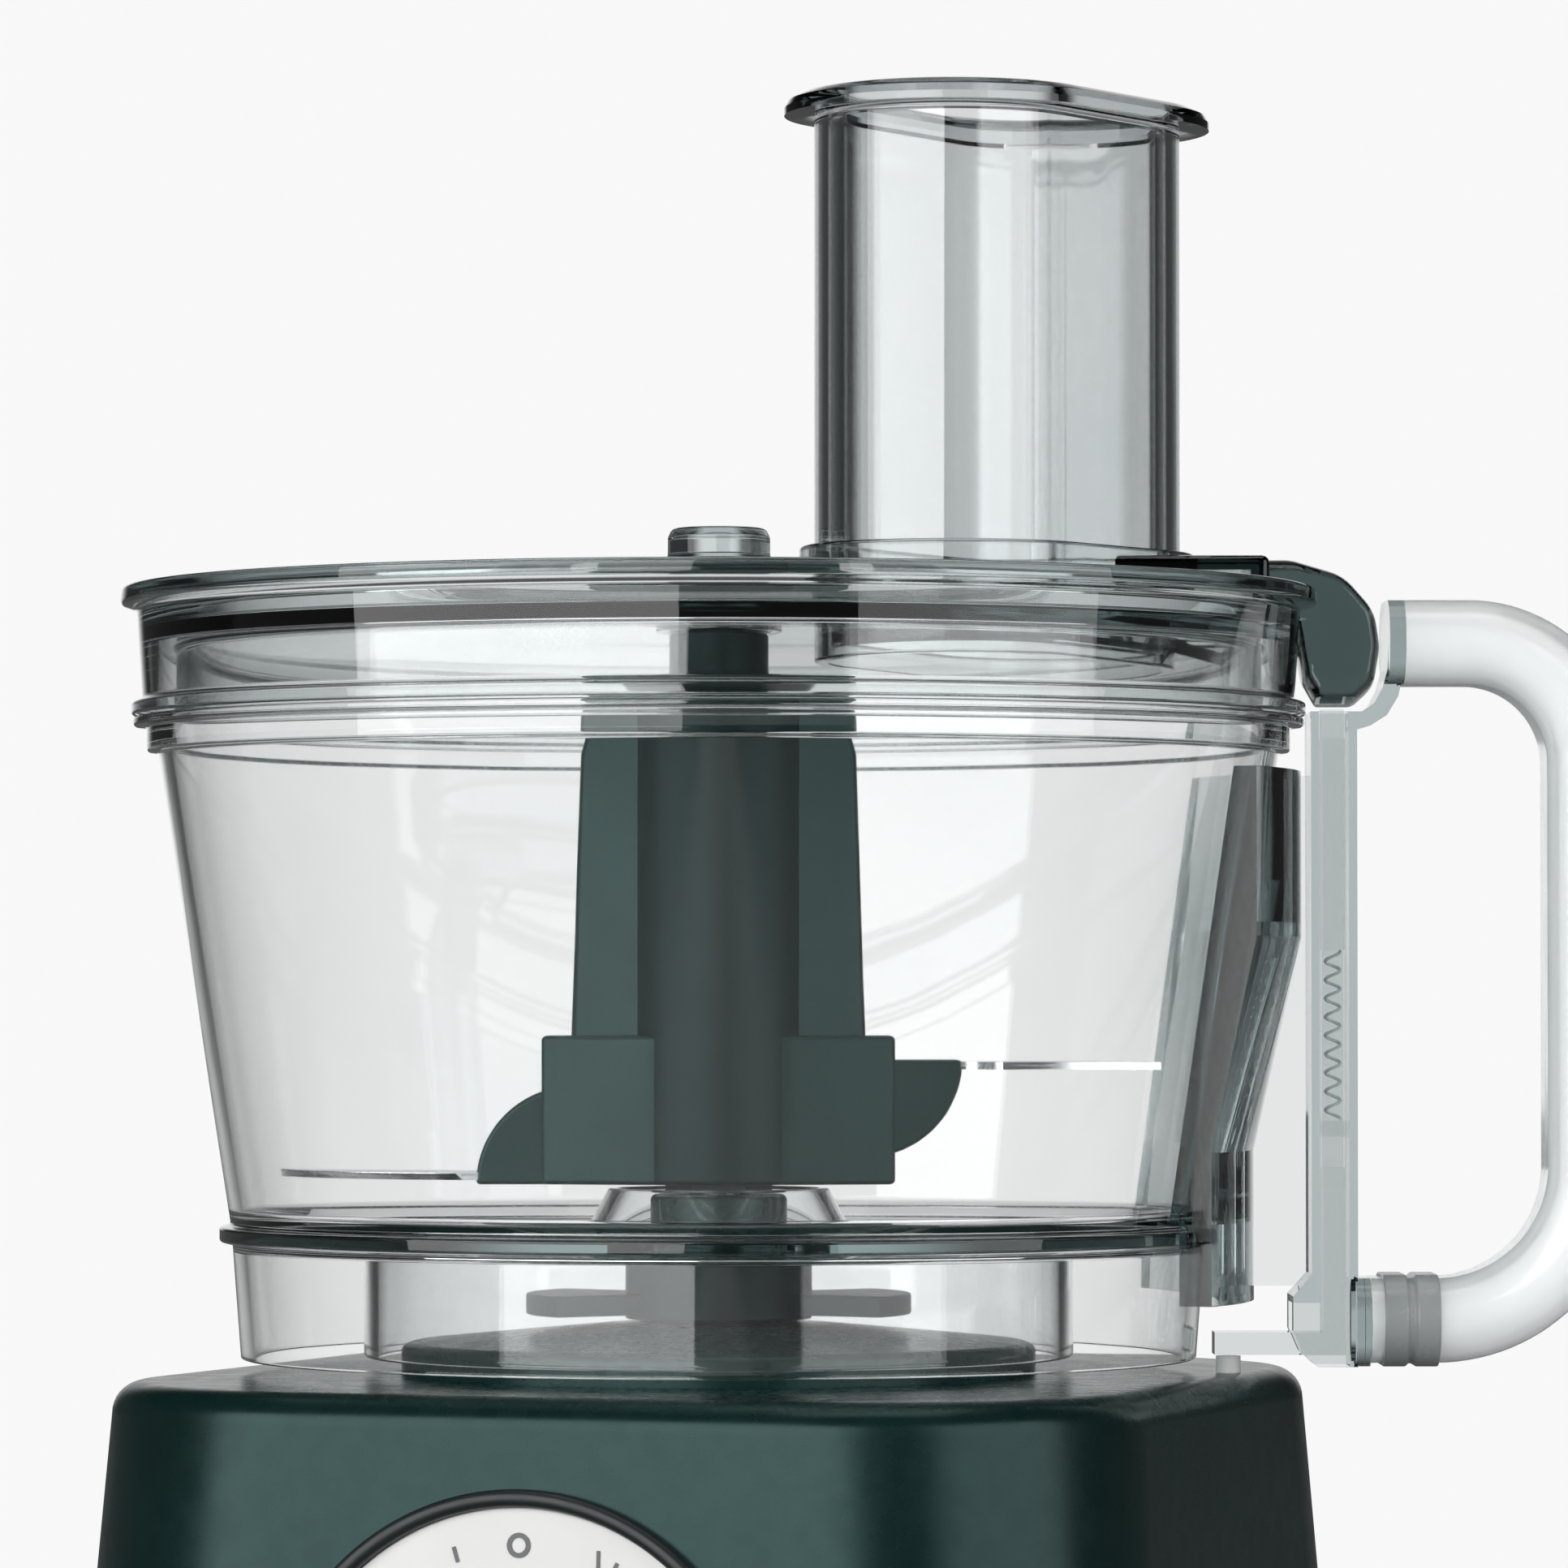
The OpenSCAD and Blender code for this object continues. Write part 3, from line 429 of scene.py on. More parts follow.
def finish_node(node, material):
    """A CAD node that is shown as it is, with its own material and smooth shading."""
    piece = nodes[node]
    piece.data.materials.clear()
    piece.data.materials.append(material)
    piece.data.shade_smooth()
    piece.data.set_sharp_from_angle(angle=radians(30))


# ---------- camera, lights and surroundings ----------

CAMERA_PLACE = (0.0105, -1.243, 0.2262)
CAMERA_PITCH = radians(1.592)
PALE = 0.94
DIM = 0.05
LOBE = (10, 22)


def make_camera():
    data = bpy.data.cameras.new("camera")
    data.lens = 177
    data.sensor_width = 36
    camera = bpy.data.objects.new("camera", data)
    camera.location = CAMERA_PLACE
    camera.rotation_euler = (pi / 2 + CAMERA_PITCH, 0, 0)
    bpy.context.scene.collection.objects.link(camera)
    bpy.context.scene.camera = camera


def softbox(name, direction, distance, height, width, tall, power):
    """A soft area light round the object, in the direction given in degrees from +Y towards +X."""
    data = bpy.data.lights.new(name, "AREA")
    data.shape = "RECTANGLE"
    data.size, data.size_y = width, tall
    data.energy = power
    light = bpy.data.objects.new(name, data)
    a = radians(direction)
    light.location = (distance * sin(a), distance * cos(a), height)
    aim = Vector((0, 0, 0.18)) - light.location
    light.rotation_euler = aim.to_track_quat("-Z", "Y").to_euler()
    light.visible_camera = False
    bpy.context.scene.collection.objects.link(light)


def surroundings(tree, across, ahead):
    """Brightness of the room: pale beyond the object as the camera sees it, darker to each side."""
    angle = tree.nodes.new("ShaderNodeMath")
    angle.operation = "ARCTAN2"
    tree.links.new(across, angle.inputs[0])
    tree.links.new(ahead, angle.inputs[1])
    away = tree.nodes.new("ShaderNodeMath")
    away.operation = "ABSOLUTE"
    tree.links.new(angle.outputs[0], away.inputs[0])
    fall = tree.nodes.new("ShaderNodeMapRange")
    fall.interpolation_type = "SMOOTHSTEP"
    fall.inputs["From Min"].default_value = radians(LOBE[0])
    fall.inputs["From Max"].default_value = radians(LOBE[1])
    fall.inputs["To Min"].default_value = PALE
    fall.inputs["To Max"].default_value = DIM
    tree.links.new(away.outputs[0], fall.inputs["Value"])
    path = tree.nodes.new("ShaderNodeLightPath")
    seen = tree.nodes.new("ShaderNodeMix")
    seen.inputs["B"].default_value = PALE
    tree.links.new(path.outputs["Is Camera Ray"], seen.inputs["Factor"])
    return fall.outputs["Result"], seen


def view_parts(tree):
    """How far across and how far ahead a shaded point or direction is, seen from the camera."""
    apart = tree.nodes.new("ShaderNodeSeparateXYZ")
    place = tree.nodes.new("ShaderNodeTexCoord").outputs["Camera"]
    tree.links.new(place, apart.inputs[0])
    return apart.outputs["X"], apart.outputs["Z"]


def make_world():
    world = bpy.data.worlds.new("studio")
    bpy.context.scene.world = world
    world.use_nodes = True
    tree = world.node_tree
    level, seen = surroundings(tree, *view_parts(tree))
    apart = tree.nodes.new("ShaderNodeSeparateXYZ")
    tree.links.new(tree.nodes.new("ShaderNodeTexCoord").outputs["Generated"], apart.inputs[0])
    high = tree.nodes.new("ShaderNodeMapRange")
    high.inputs["From Min"].default_value = 0.22
    high.inputs["From Max"].default_value = 0.45
    high.inputs["To Min"].default_value = 1
    high.inputs["To Max"].default_value = 0.1
    tree.links.new(apart.outputs["Z"], high.inputs["Value"])
    room = tree.nodes.new("ShaderNodeMath")
    room.operation = "MULTIPLY"
    tree.links.new(level, room.inputs[0])
    tree.links.new(high.outputs["Result"], room.inputs[1])
    tree.links.new(room.outputs[0], seen.inputs["A"])
    background = tree.nodes["Background"]
    background.inputs["Color"].default_value = (1, 1, 1, 1)
    tree.links.new(seen.outputs["Result"], background.inputs["Strength"])


def make_floor():
    """A pale floor that fades into the pale room, and hardly lights the object."""
    floor = prism("floor", circle(14000, 96), -20, -0.05)
    material = bpy.data.materials.new("floor_pale")
    material.use_nodes = True
    tree = material.node_tree
    place = tree.nodes.new("ShaderNodeTexCoord").outputs["Object"]
    length = tree.nodes.new("ShaderNodeVectorMath")
    length.operation = "LENGTH"
    tree.links.new(place, length.inputs[0])
    far = tree.nodes.new("ShaderNodeMapRange")
    far.interpolation_type = "SMOOTHSTEP"
    far.inputs["From Min"].default_value = 0.35
    far.inputs["From Max"].default_value = 1.5
    tree.links.new(length.outputs["Value"], far.inputs["Value"])
    level, seen = surroundings(tree, *view_parts(tree))
    tree.links.new(level, seen.inputs["A"])
    glow = tree.nodes.new("ShaderNodeEmission")
    glow.inputs["Color"].default_value = (1, 1, 1, 1)
    tree.links.new(seen.outputs["Result"], glow.inputs["Strength"])
    matte = tree.nodes["Principled BSDF"]
    matte.inputs["Base Color"].default_value = (0.86, 0.86, 0.86, 1)
    matte.inputs["Roughness"].default_value = 0.8
    matte.inputs["Specular IOR Level"].default_value = 0.1
    matte.inputs["Emission Color"].default_value = (1, 1, 1, 1)
    matte.inputs["Emission Strength"].default_value = 0.3
    mix = tree.nodes.new("ShaderNodeMixShader")
    tree.links.new(far.outputs["Result"], mix.inputs["Fac"])
    tree.links.new(matte.outputs["BSDF"], mix.inputs[1])
    tree.links.new(glow.outputs["Emission"], mix.inputs[2])
    faint = tree.nodes.new("ShaderNodeEmission")
    faint.inputs["Color"].default_value = (1, 1, 1, 1)
    faint.inputs["Strength"].default_value = 0.12
    path = tree.nodes.new("ShaderNodeLightPath")
    bounced = tree.nodes.new("ShaderNodeMath")
    bounced.operation = "MAXIMUM"
    tree.links.new(path.outputs["Is Diffuse Ray"], bounced.inputs[0])
    tree.links.new(path.outputs["Is Glossy Ray"], bounced.inputs[1])
    hidden = tree.nodes.new("ShaderNodeMath")
    hidden.operation = "SUBTRACT"
    hidden.use_clamp = True
    tree.links.new(bounced.outputs[0], hidden.inputs[0])
    tree.links.new(path.outputs["Is Transmission Ray"], hidden.inputs[1])
    choice = tree.nodes.new("ShaderNodeMixShader")
    tree.links.new(hidden.outputs[0], choice.inputs["Fac"])
    tree.links.new(mix.outputs["Shader"], choice.inputs[1])
    tree.links.new(faint.outputs["Emission"], choice.inputs[2])
    output = tree.nodes["Material Output"]
    tree.links.new(choice.outputs["Shader"], output.inputs["Surface"])
    floor.data.materials.append(material)


make_camera()
make_world()
make_floor()
softbox("soft_left", -140, 1.6, 0.55, 2.2, 1.2, 27)
softbox("soft_right", 128, 1.6, 0.55, 1.6, 1.2, 12)
softbox("soft_top", 0, 0.05, 2.4, 1.6, 1.6, 11)
scene = bpy.context.scene
scene.view_settings.view_transform = "Standard"
scene.cycles.max_bounces = 32
scene.cycles.transmission_bounces = 32
scene.cycles.transparent_max_bounces = 32
scene.cycles.glossy_bounces = 8


# ---------- base ----------


def base_outline(half, radius):
    """One level of the base: a square with round corners."""
    middle = half - radius
    points = []
    for quarter in range(4):
        a0 = quarter * pi / 2
        side = (1 if quarter in (0, 3) else -1, 1 if quarter in (0, 1) else -1)
        for k in range(25):
            a = a0 + k * pi / 48
            x, y = side[0] * middle + radius * cos(a), side[1] * middle + radius * sin(a)
            points.append((x, y))
    return points


def base_level(z, inset=0):
    return [(x, y, z) for x, y in base_outline(half_at(z) - inset, BASE_CORNER - inset)]


def base_block(name, low, high, edge, inset=0, foot=0):
    """The base's form between two heights, with a rounded upper edge."""
    rings = [base_level(low, inset + foot)] if foot else []
    rings += [base_level(low + foot, inset), base_level(high - edge, inset)]
    half = half_at(high - edge)
    for k in range(1, 10):
        a = k * pi / 18
        shrink = inset + edge * (1 - cos(a))
        outline = base_outline(half - shrink, BASE_CORNER - shrink)
        rings.append([(x, y, high - edge + edge * sin(a)) for x, y in outline])
    return skin(name, rings, place=AT_BASE)


def housing_shell():
    foot_z = edges("housing")[0].z
    shell = base_block("housing_shell", foot_z, DECK_Z, DECK_EDGE, foot=0.8)
    hollow = base_block("hollow", foot_z - 1, DECK_Z - SHELL, 3, inset=SHELL)
    cut(shell, hollow)
    tower_top = edges("deck")[1].z
    bush_top = edges("spindle_upper_bush")[1].z
    deck = lathe("deck", rounded([
        (9, DECK_Z - 3.5), (51, DECK_Z - 3.5), (51, DECK_Z + 4.6, 1.2), (49.4, DECK_Z + 5.2, 2),
        (19, DECK_Z + 8, 6), (TOWER_R, DECK_Z + 8.3, 2.5), (TOWER_R, tower_top, 1),
        (5, tower_top, 0.5), (5, bush_top), (9, bush_top),
    ]))
    core = prism("core", circle(9.5), DECK_Z - 10, DECK_Z + 1)
    cut(shell, core)
    joined(shell, deck)
    plunger = edges("interlock_plunger")
    plunger_x = (plunger[0].x + plunger[1].x) / 2
    dish = prism("dish", circle(DIAL_R + BEZEL_W), -1.2, 6, AT_DIAL)
    shaft = prism("shaft", circle(6.5, 64), -20, 10, AT_DIAL)
    hole = prism("hole", circle(2.05, 48, (plunger_x, 0)), 150, 180)
    inlet = prism("inlet", circle(7, 64), half_at(0) - 20, half_at(0) + 20,
                  AT_BASE @ Matrix.Translation((0, 0, 22)) @ Matrix.Rotation(-pi / 2, 4, "X"))
    cut(shell, dish, shaft, hole, inlet)
    placed(shell, "base", "base_plastic", base_plastic, "housing", "back_wall", "deck")


def dial():
    ring = lathe("dial_ring", rounded([
        (DIAL_R, -1.2), (DIAL_R + BEZEL_W, -1.2), (DIAL_R + BEZEL_W, 2.4, 1.2),
        (DIAL_R, 2.4, 1.2),
    ]), place=AT_DIAL)
    placed(ring, "base", "dial_dark", dark_plastic, "dial_bezel")
    plate = lathe("dial_face", rounded([
        (6.5, -1.2), (DIAL_R, -1.2), (DIAL_R, 0.4, 0.3), (KNOB_R + 1.5, 0.25, 3),
        (KNOB_R + 0.8, 0, 0.2), (6.5, 0, 0.3),
    ]), place=AT_DIAL)
    placed(plate, "base", "dial_white", dial_white, "dial_plate")


def mark_ring(angle, radius, outer, inner):
    """A small printed ring on the dial, at an angle from its top."""
    place = AT_DIAL @ Matrix.Rotation(radians(angle), 4, "Z") @ Matrix.Translation((0, radius, 0))
    outline = [(inner, INK_LOW), (outer, INK_LOW), (outer, INK_TOP), (inner, INK_TOP)]
    return lathe("mark", outline, 40, place=place)


def mark_bar(angle, near, far, half):
    """A printed tick or wedge: half its width at the near and the far end."""
    place = AT_DIAL @ Matrix.Rotation(radians(angle), 4, "Z")
    ends = [(-half[0], near), (half[0], near), (half[1], far), (-half[1], far)]
    return prism("mark", ends, INK_LOW, INK_TOP, place)


def dial_marks():
    """Off ring at the top, a widening speed scale with two numbered stops, and a pulse dot."""
    marks = [mark_ring(0, 33, 1.9, 1.15)]
    marks += [mark_bar(-20 - 7.5 * k, 31.5 - 0.12 * k, 34.5 + 0.12 * k, (0.3, 0.3))
              for k in range(1, 10)]
    marks += [mark_bar(a, 29.5, 31.5, (0.5, 0.5)) for a in (-35, -87.5)]
    marks += [mark_ring(35, 33, 1.5, 0.01), mark_bar(18, 31.8, 34.2, (0.3, 0.3))]
    for text, angle in (("1", -23), ("2", -95)):
        curve = bpy.data.curves.new("number", "FONT")
        curve.body = text
        curve.size = 5.5 * MM
        curve.extrude = 0.1 * MM
        curve.align_x = curve.align_y = "CENTER"
        number = bpy.data.objects.new("number", curve)
        bpy.context.scene.collection.objects.link(number)
        round_dial = Matrix.Rotation(radians(angle), 4, "Z")
        turned = AT_DIAL @ round_dial @ Matrix.Translation((0, 33, 0.45)) @ round_dial.inverted()
        turned.translation *= MM
        number.matrix_world = turned
        graph = bpy.context.evaluated_depsgraph_get()
        mesh = bpy.data.meshes.new_from_object(number.evaluated_get(graph))
        mesh.transform(turned)
        bpy.data.objects.remove(number)
        shape = bpy.data.objects.new("number", mesh)
        bpy.context.scene.collection.objects.link(shape)
        marks.append(shape)
    printed = merged("dial_marks", marks)
    printed.data.materials.clear()
    printed.data.materials.append(dial_ink)
    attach(printed, "base")


def merged(name, parts):
    """Several separate solids as one object."""
    work = bmesh.new()
    for part in parts:
        work.from_mesh(part.data)
        bpy.data.objects.remove(part)
    mesh = bpy.data.meshes.new(name)
    work.to_mesh(mesh)
    work.free()
    whole = bpy.data.objects.new(name, mesh)
    bpy.context.scene.collection.objects.link(whole)
    return whole


def knob():
    body = lathe("speed_dial_knob", rounded([
        (2.95, 1), (KNOB_R, 1, 0.3), (KNOB_R, 2.7, 0.5), (KNOB_R - 1.6, 3.3, 0.8),
        (KNOB_R - 3, 10, 1), (KNOB_R - 4.2, 11.4, 1.2), (2.95, 11.4),
    ]), place=AT_DIAL)
    reach = KNOB_R - 3
    side = sqrt(reach ** 2 - 16)
    grip = prism("grip", rounded([
        (-4, -side, 1.5), (4, -side, 1.5), (4, side, 1.5), (-4, side, 1.5),
    ]), 10, 20, AT_DIAL)
    bevelled(grip, 1.2)
    joined(body, grip)
    placed(body, "knob", "knob", knob_plastic, "speed_knob")
    line = [(-0.7, 6), (0.7, 6), (0.7, side - 1), (-0.7, side - 1)]
    pointer = bevelled(prism("knob_pointer", line, 19.9, 20.15, AT_DIAL), 0.1, 2)
    placed(pointer, "knob", "dial_white", dial_white)


# ---------- bowl ----------


def bowl():
    floor_z = 188.8
    skirt_z = skirt_low.z
    floor_low = floor_z - 2
    rim_r = bowl_high.y
    body = lathe("bowl_body", rounded([
        (12.3, floor_low), (54.8, floor_low, 0.6),
        (54.8, 168.8, 0.4), (57, 168.8, 0.4), (57, floor_low, 0.6),
        (76, floor_low, 1), (74.5, skirt_z, 0.4), (76.7, skirt_z, 0.4),
        (78.1, floor_low, 0.3), (80.2, floor_z - 1.5, 0.6), (80.2, floor_z + 0.8, 0.5),
        (wall_at(190), 190, 0.5), (90.1, 265.5, 0.4), (92, 265.7, 0.5),
        (92, RIM_Z - 1.6, 0.3), (rim_r, RIM_Z - 1.4, 0.5), (rim_r, RIM_Z, 0.5),
        (wall_at(RIM_Z) - CLEAR_T, RIM_Z, 0.6),
        (wall_at(192) - CLEAR_T, 192, 2.5), (wall_at(190) - CLEAR_T - 2.5, floor_z, 2.5),
        (21.5, floor_z, 0.8), (17.7, 195.8, 0.6), (15.5, 195.8, 0.6), (19.3, floor_z, 1),
        (18, floor_z - 0.6, 0.5), (12.3, floor_z - 0.4, 0.5),
    ], 5))
    placed(body, "bowl", "clear", bowl_clear, "bowl", "bowl_skirt", "bowl_rib")
    sleeve = lathe("bowl_sleeve", rounded([
        (12.3, 174.8, 0.4), (15, 174.8, 0.4), (15, floor_low - 0.03), (12.3, floor_low - 0.03),
    ], 4))
    lugs = [bevelled(lathe("lug", [(14, 175.6), (31, 175.6), (31, 179), (14, 179)], 40,
                           radians(start), radians(70)), 0.4, 2) for start in (-35, 145)]
    joined(sleeve, *lugs)
    placed(sleeve, "bowl", "dark_plastic", core_plastic, "bowl_hub")


# ---------- handle ----------


def grip_stations():
    """Middle line of the grip in the XZ plane: (x, z, direction), from the top arm down."""
    inner_x = grip_high.x - GRIP_T
    middle_x = inner_x + GRIP_T / 2
    top_z = top_arm_z - GRIP_T / 2
    low_z = low_arm.z + GRIP_T / 2
    top_r = GRIP_TOP_CORNER + GRIP_T / 2
    low_r = GRIP_LOW_CORNER + GRIP_T / 2
    stations = [(GRIP_START_X, top_z, 0)]
    for k in range(25):
        a = pi / 2 - k * pi / 48
        x, z = middle_x - top_r + top_r * cos(a), top_z - top_r + top_r * sin(a)
        stations.append((x, z, a - pi / 2))
    for k in range(29):
        a = -k * pi / 56
        x, z = middle_x - low_r + low_r * cos(a), low_z + low_r + low_r * sin(a)
        stations.append((x, z, a - pi / 2))
    stations.append((low_arm.x, low_z, -pi))
    return stations


def sweep_rings(stations, section):
    """Rings of a section (across, outward) carried along stations in the XZ plane."""
    return [[(x - out * sin(a), across, z + out * cos(a)) for across, out in section]
            for x, z, a in stations]


def handle_grip():
    flat = (GRIP_W - GRIP_T) / 2
    outer = stadium(flat, GRIP_T / 2, 24)
    inner = stadium(flat, GRIP_T / 2 - 2, 24)
    line = grip_stations()
    rings = sweep_rings(line, outer) + list(reversed(sweep_rings(line, inner)))
    grip = skin("handle_tube", rings, loop=True)
    placed(grip, "bowl", "grip", grip_clear, "handle_grip", "grip_top_arm", "grip_low_arm")
    low, high = edges("grip_ferrule")
    rib = GRIP_T / 2 + 0.6
    profile = rounded([(0, GRIP_T / 2), (0, rib, 0.5), (3.6, rib, 0.5), (4.1, rib - 0.5, 0.3),
                       (4.8, rib - 0.5, 0.3), (5.3, rib, 0.5), (8.9, rib, 0.5),
                       (8.9, GRIP_T / 2)], 3)
    middle = (low.z + high.z) / 2
    rings = [[(low.x + along, y, middle + z) for y, z in stadium(flat, out, 24)]
             for along, out in profile]
    placed(skin("handle_ferrule", rings, loop=True), "bowl", "grip", ferrule_grey,
           "grip_ferrule")


# ---------- knife ----------


def wing_plan(reach, end, near):
    """Plan of a pair of wings: thickest beside the core, thinner at both ends."""
    return [(-reach, -end), (-12, -near), (12, -near), (reach, -end),
            (reach, end), (12, near), (-12, near), (-reach, end)]


def hub():
    """The knife hub: tapered wings each side of a round core, guards over the blades' roots."""
    top, foot = 271.5, hub_low.z
    core = bevelled(prism("hub_core", circle(15.6), foot, top), 0.9)
    wings = prism("wings", rounded([
        (-23.6, 219.3), (23.6, 219.3), (22.1, top - 6, 4), (20.6, top - 0.8, 4.5),
        (-20.6, top - 0.8, 4.5), (-22.1, top - 6, 4),
    ], 8), -9, 9, UPRIGHT)
    taper = prism("taper", wing_plan(24, 5.4, 9), 200, 290)
    combined(wings, "INTERSECT", [taper])
    bevelled(wings, 0.9)
    block = bevelled(prism("block", wing_plan(28.3, 7.6, 11.8), foot, 220.3), 0.8)
    body = joined(wings, block)
    low_guard = [(-23 - 15.8 * cos(a), foot + 15.8 * sin(a))
                 for a in [k * pi / 48 for k in range(25)]]
    high_z = 216.4
    high_guard = [(23.5 + 15.6 * cos(a), high_z - 15.6 * sin(a))
                  for a in [k * pi / 48 for k in range(25)]]
    for name, arc, corner in (("low_guard", low_guard, (-23, foot)),
                              ("high_guard", high_guard, (23.5, high_z))):
        guard = bevelled(prism(name, [corner] + arc, -7.2, 7.2, UPRIGHT), 0.7)
        joined(body, guard)
    cut(body, prism("room", circle(15.2), foot - 1, top + 1))
    body.name = "hub_wings"
    placed(body, "knife", "hub", hub_plastic, "blade_hub")
    disc = lathe("disc", rounded([
        (0, top - 1), (10, top - 1), (10, 274.2, 0.8), (21, 274.2, 0.3), (21, 275.4, 0.4),
        (12, 277.2, 5), (8, 280.5, 4), (8, 288, 0.5), (4.5, 288, 0.4), (4.5, hub_high.z, 0.9),
        (0, hub_high.z),
    ], 6))
    joined(core, disc)
    cut(core, prism("bore", circle(4.05, 64), foot - 1, 263),
        prism("socket", circle(9, 6), foot - 1, 214))
    placed(core, "knife", "hub", core_plastic)


def blade(name, node, tip, turn):
    """A hooked blade with a ground cutting edge, pointing along +X before it is turned."""
    low, high = edges(node)
    thin = 0.12
    bottom, top = low.z, high.z
    stations = []
    for k in range(61):
        x = 18 + (tip - 18) * (1 - (1 - k / 60) ** 1.3)
        if x < 41:
            stations.append((x, -7, 7, 0.01))
            continue
        grow = min(1, (x - 41) / 4)
        edge = -38 + sqrt(2500 - (x - 30) ** 2)
        back = -64 + sqrt(2809 - (x - 50) ** 2)
        if x * x + back * back > tip * tip:
            continue
        edge = min(edge, sqrt(tip * tip - x * x)) if x < tip else edge
        stations.append((x, -7 + (back + 7) * grow, 7 + (edge - 7) * grow, 3.6 * grow + 0.01))
    rings = []
    for x, back, edge, ground in stations:
        ground = min(ground, 0.45 * (edge - back))
        lift = bottom + (top - bottom - thin if ground > 0.2 else 0)
        rings.append([(x, back, top), (x, edge, top), (x, edge, lift),
                      (x, edge - ground, bottom), (x, back + 0.01, bottom)])
    made = skin(name, rings, place=Matrix.Rotation(turn, 4, "Z"))
    placed(made, "knife", "blade", blade_steel, node)


# ---------- lid and pusher ----------


def lid():
    rim_low, rim_high = edges("lid_rim")
    skirt_z = edges("lid_skirt")[0].z
    rim = rim_high.z
    reach = rim_high.y
    top = [(8.3, 297.1, 1.2), (11, 296.3, 3), (30, 295.2, 200), (48, 293.2, 200),
           (64, 290.6, 200), (76, 288, 150), (84.5, 285.6, 1.5), (87.2, 285.8, 1.5),
           (91.8, rim - 0.6, 1.5), (93.5, rim, 0.8), (reach - 0.3, rim, 0.7),
           (reach, rim - 2.7, 0.8), (93.6, rim - 3.6, 0.8), (92.7, rim_low.z + 2.5, 0.8),
           (94.5, rim_low.z + 2, 0.5)]
    under = [(94.5, rim_low.z, 0.5), (90.6, rim_low.z, 0.5), (90.6, 283.3, 0.6),
             (87.7, 283.3, 0.6), (87.7, skirt_z, 0.5), (85.5, skirt_z, 0.5), (85.5, 283.2, 1.5),
             (76, 285.8, 150), (64, 288.4, 200), (48, 291, 200), (30, 293, 200), (13, 294, 3),
             (10.2, 293, 0.8), (10.2, 288.3, 0.3), (8.1, 288.3, 0.3), (8.1, 296.7), (0, 296.7)]
    body = lathe("lid_body", rounded([(0, 302), (7.6, 302, 1), (8.3, 300.5, 1)] + top + under, 5))
    collar = prism("collar", stadium(TUBE_HALF, TUBE_R + 2.4), 286.5, 298.5, AT_TUBE)
    bevelled(collar, 0.7)
    below = [(r, z + 0.02, *turn) for r, z, *turn in top]
    cut(collar, lathe("below", rounded([(0, 296)] + below + [(94.5, 260), (0, 260)], 5)))
    tube_top = edges("feed_tube")[1].z
    tube = bevelled(prism("tube", stadium(TUBE_HALF, TUBE_R), 282.5, tube_top, AT_TUBE), 0.5)
    joined(tube, collar)
    cut(body, prism("wall", stadium(TUBE_HALF, TUBE_R - 0.5), 279, 299, AT_TUBE))
    joined(body, tube)
    cut(body, prism("throat", stadium(TUBE_HALF, TUBE_R - CLEAR_T), 281, 400, AT_TUBE))
    room = prism("room", [(60, -12.8), (84, -12.8), (84, 12.8), (60, 12.8)], 280, 294.6)
    cut(room, prism("wall", stadium(TUBE_HALF, TUBE_R), 279, 296, AT_TUBE))
    cut(body, room)
    placed(body, "lid", "clear", lid_clear, "lid", "lid_rim", "lid_skirt", "feed_tube")
    lid_tab(top)


def lid_tab(top):
    """The rounded tab over the handle, and the hollow bridge from it to the feed tube."""
    outline = rounded([
        (84, 287), (84, 296.9), (92, 296.9, 8), (100.5, 294.4, 8), (105.6, 288.6, 8),
        (106.5, 282.5, 8), (105.4, 276.2, 5), (102, 273.1, 2), (96.2, 273.1, 1), (94, 277, 4),
        (92, 288),
    ], 6)
    rings = []
    for k in range(25):
        a = pi * (k / 24 - 0.5)
        size = 0.62 + 0.38 * cos(a) ** 0.4 if 0 < k < 24 else 0.62
        rings.append([(98 + (x - 98) * size, 285 + (z - 285) * size, 8.5 * sin(a))
                      for x, z in outline])
    tab = skin("tab", rings, place=UPRIGHT)
    cover = [(58, -15), (88, -15), (88, 15), (58, 15)]
    bridge = bevelled(prism("bridge", cover, 286.5, 296.9), 1.2)
    joined(bridge, tab)
    below = [(r + 0.03, z + 0.03, *turn) for r, z, *turn in top]
    space = lathe("space", rounded([(0, 297.1)] + below + [(94.5, 260), (0, 260)], 5))
    tube = prism("tube", stadium(TUBE_HALF, TUBE_R + 2.43), 280, 300, AT_TUBE)
    room = prism("room", [(60, -12.8), (85, -12.8), (85, 12.8), (60, 12.8)], 280, 294.6)
    cam = prism("cam", [(3.5, 273), (-9, 273), (-9, 274.7), (3.5, 273.1)], 95.5, 107.5,
                Matrix.Rotation(pi / 2, 4, "Z") @ UPRIGHT)
    cut(bridge, space, tube, room, cam)
    bridge.name = "lid_tab_cover"
    # The tab's material carries painted shade in its dense absorption.
    placed(bridge, "lid", "clear", tab_tint_painted_shade, "lid_tab")


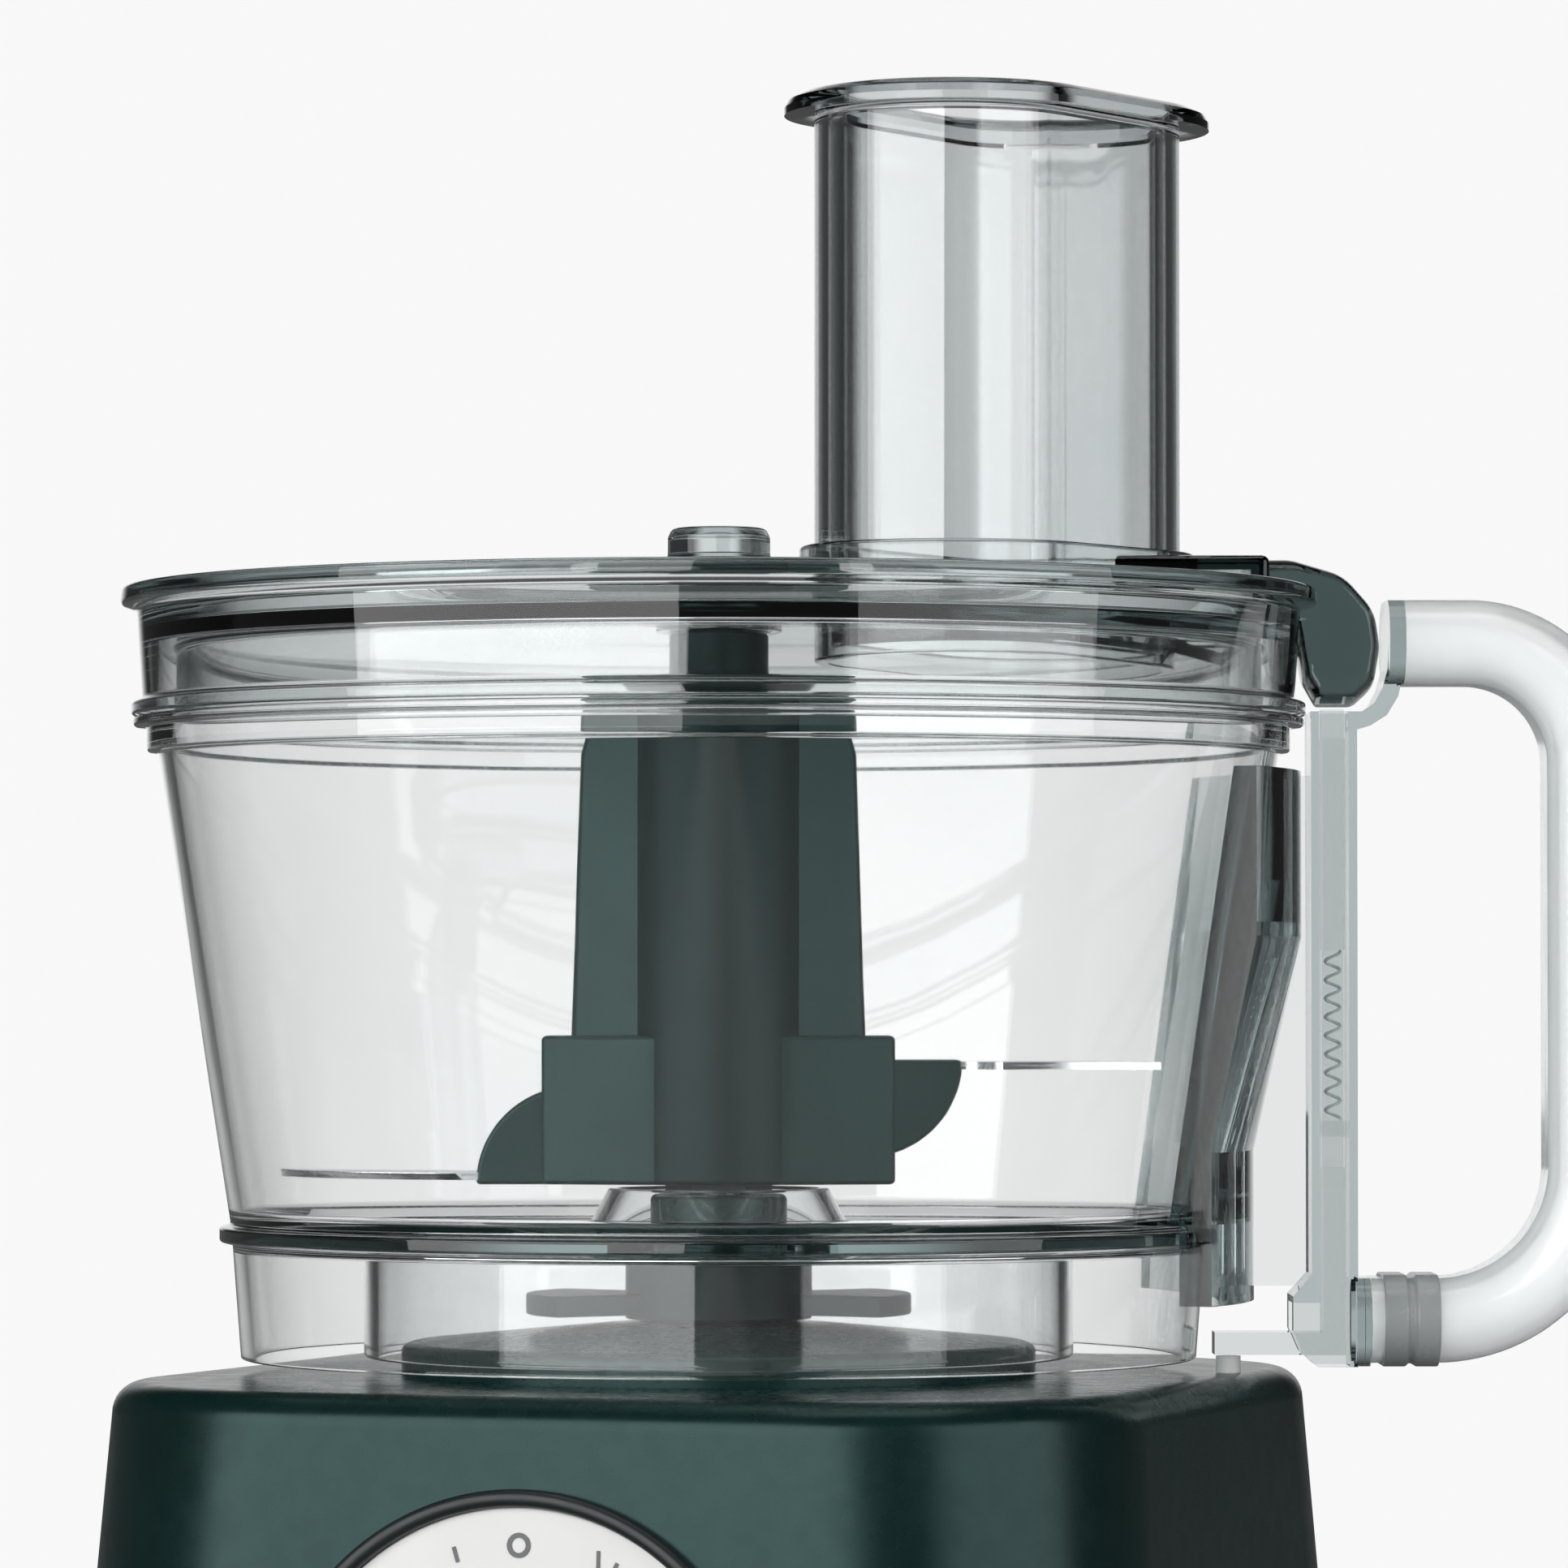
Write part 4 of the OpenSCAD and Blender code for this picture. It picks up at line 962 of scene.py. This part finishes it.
def pusher():
    top, foot, cap = pusher_high.z, pusher_low.z, 3.8
    radius = TUBE_R - CLEAR_T - 0.5
    wall = 2
    outer = [(radius - 0.6, foot), (radius, foot + 0.6), (radius, top - cap - 1),
             (radius + 0.6, top - cap - 0.2), (TUBE_R + 3.9, top - cap), (TUBE_R + 4.8, top - cap),
             (TUBE_R + 4.8, top - cap + 1.2), (TUBE_R + 4.1, top - 1.4), (TUBE_R + 2, top - 0.4),
             (TUBE_R, top), (radius, top), (radius - wall + 0.4, top - 0.6),
             (radius - wall, top - 1.6), (radius - wall, foot + wall + 0.8),
             (radius - wall - 0.8, foot + wall)]
    rings = [[(x, y, z) for x, y in stadium(TUBE_HALF, r)] for r, z in outer]
    made = skin("pusher_cup", rings, place=AT_TUBE)
    placed(made, "pusher", "clear", pusher_clear, "pusher")


housing_shell()
dial()
dial_marks()
knob()
bowl()
handle_grip()
hub()
blade("blade_low", "low_blade", 74, pi)
blade("blade_high", "high_blade", 72.4, 0)
lid()
pusher()

for node, material in {
    "cover_posts": base_plastic, "bottom_cover": dark_plastic, "feet": rubber,
    "cover_screws": steel, "selector_switch": white_plastic,
    "control_board": board_green, "board_parts": component,
    "cord_grommet": rubber, "chassis": dark_plastic, "motor_stator": laminated,
    "field_coils": copper_wire, "motor_top_bracket": dark_plastic, "motor_lower_bush": bronze,
    "motor_upper_bush": bronze, "brush_holders": bronze, "carbon_brushes": carbon,
    "spindle_lower_bush": bronze, "spindle_upper_bush": bronze, "interlock_switch": dark_plastic,
    "drive_belt": rubber, "interlock_plunger": white_plastic, "selector_shaft": steel,
    "motor_shaft": steel, "rotor_core": laminated, "armature_winding": copper_wire,
    "commutator": copper_wire, "cooling_fan": dark_plastic, "motor_pulley": steel,
    "drive_spindle": steel, "drive_pulley": dark_plastic, "drive_coupling": dark_plastic,
    # The handle frame's material carries painted shade in its raised absorption.
    "handle_frame": frame_tint_painted_shade, "rod_spring": spring_steel, "interlock_rod": lid_clear,
    "lid_bush": dark_plastic,
}.items():
    finish_node(node, material)
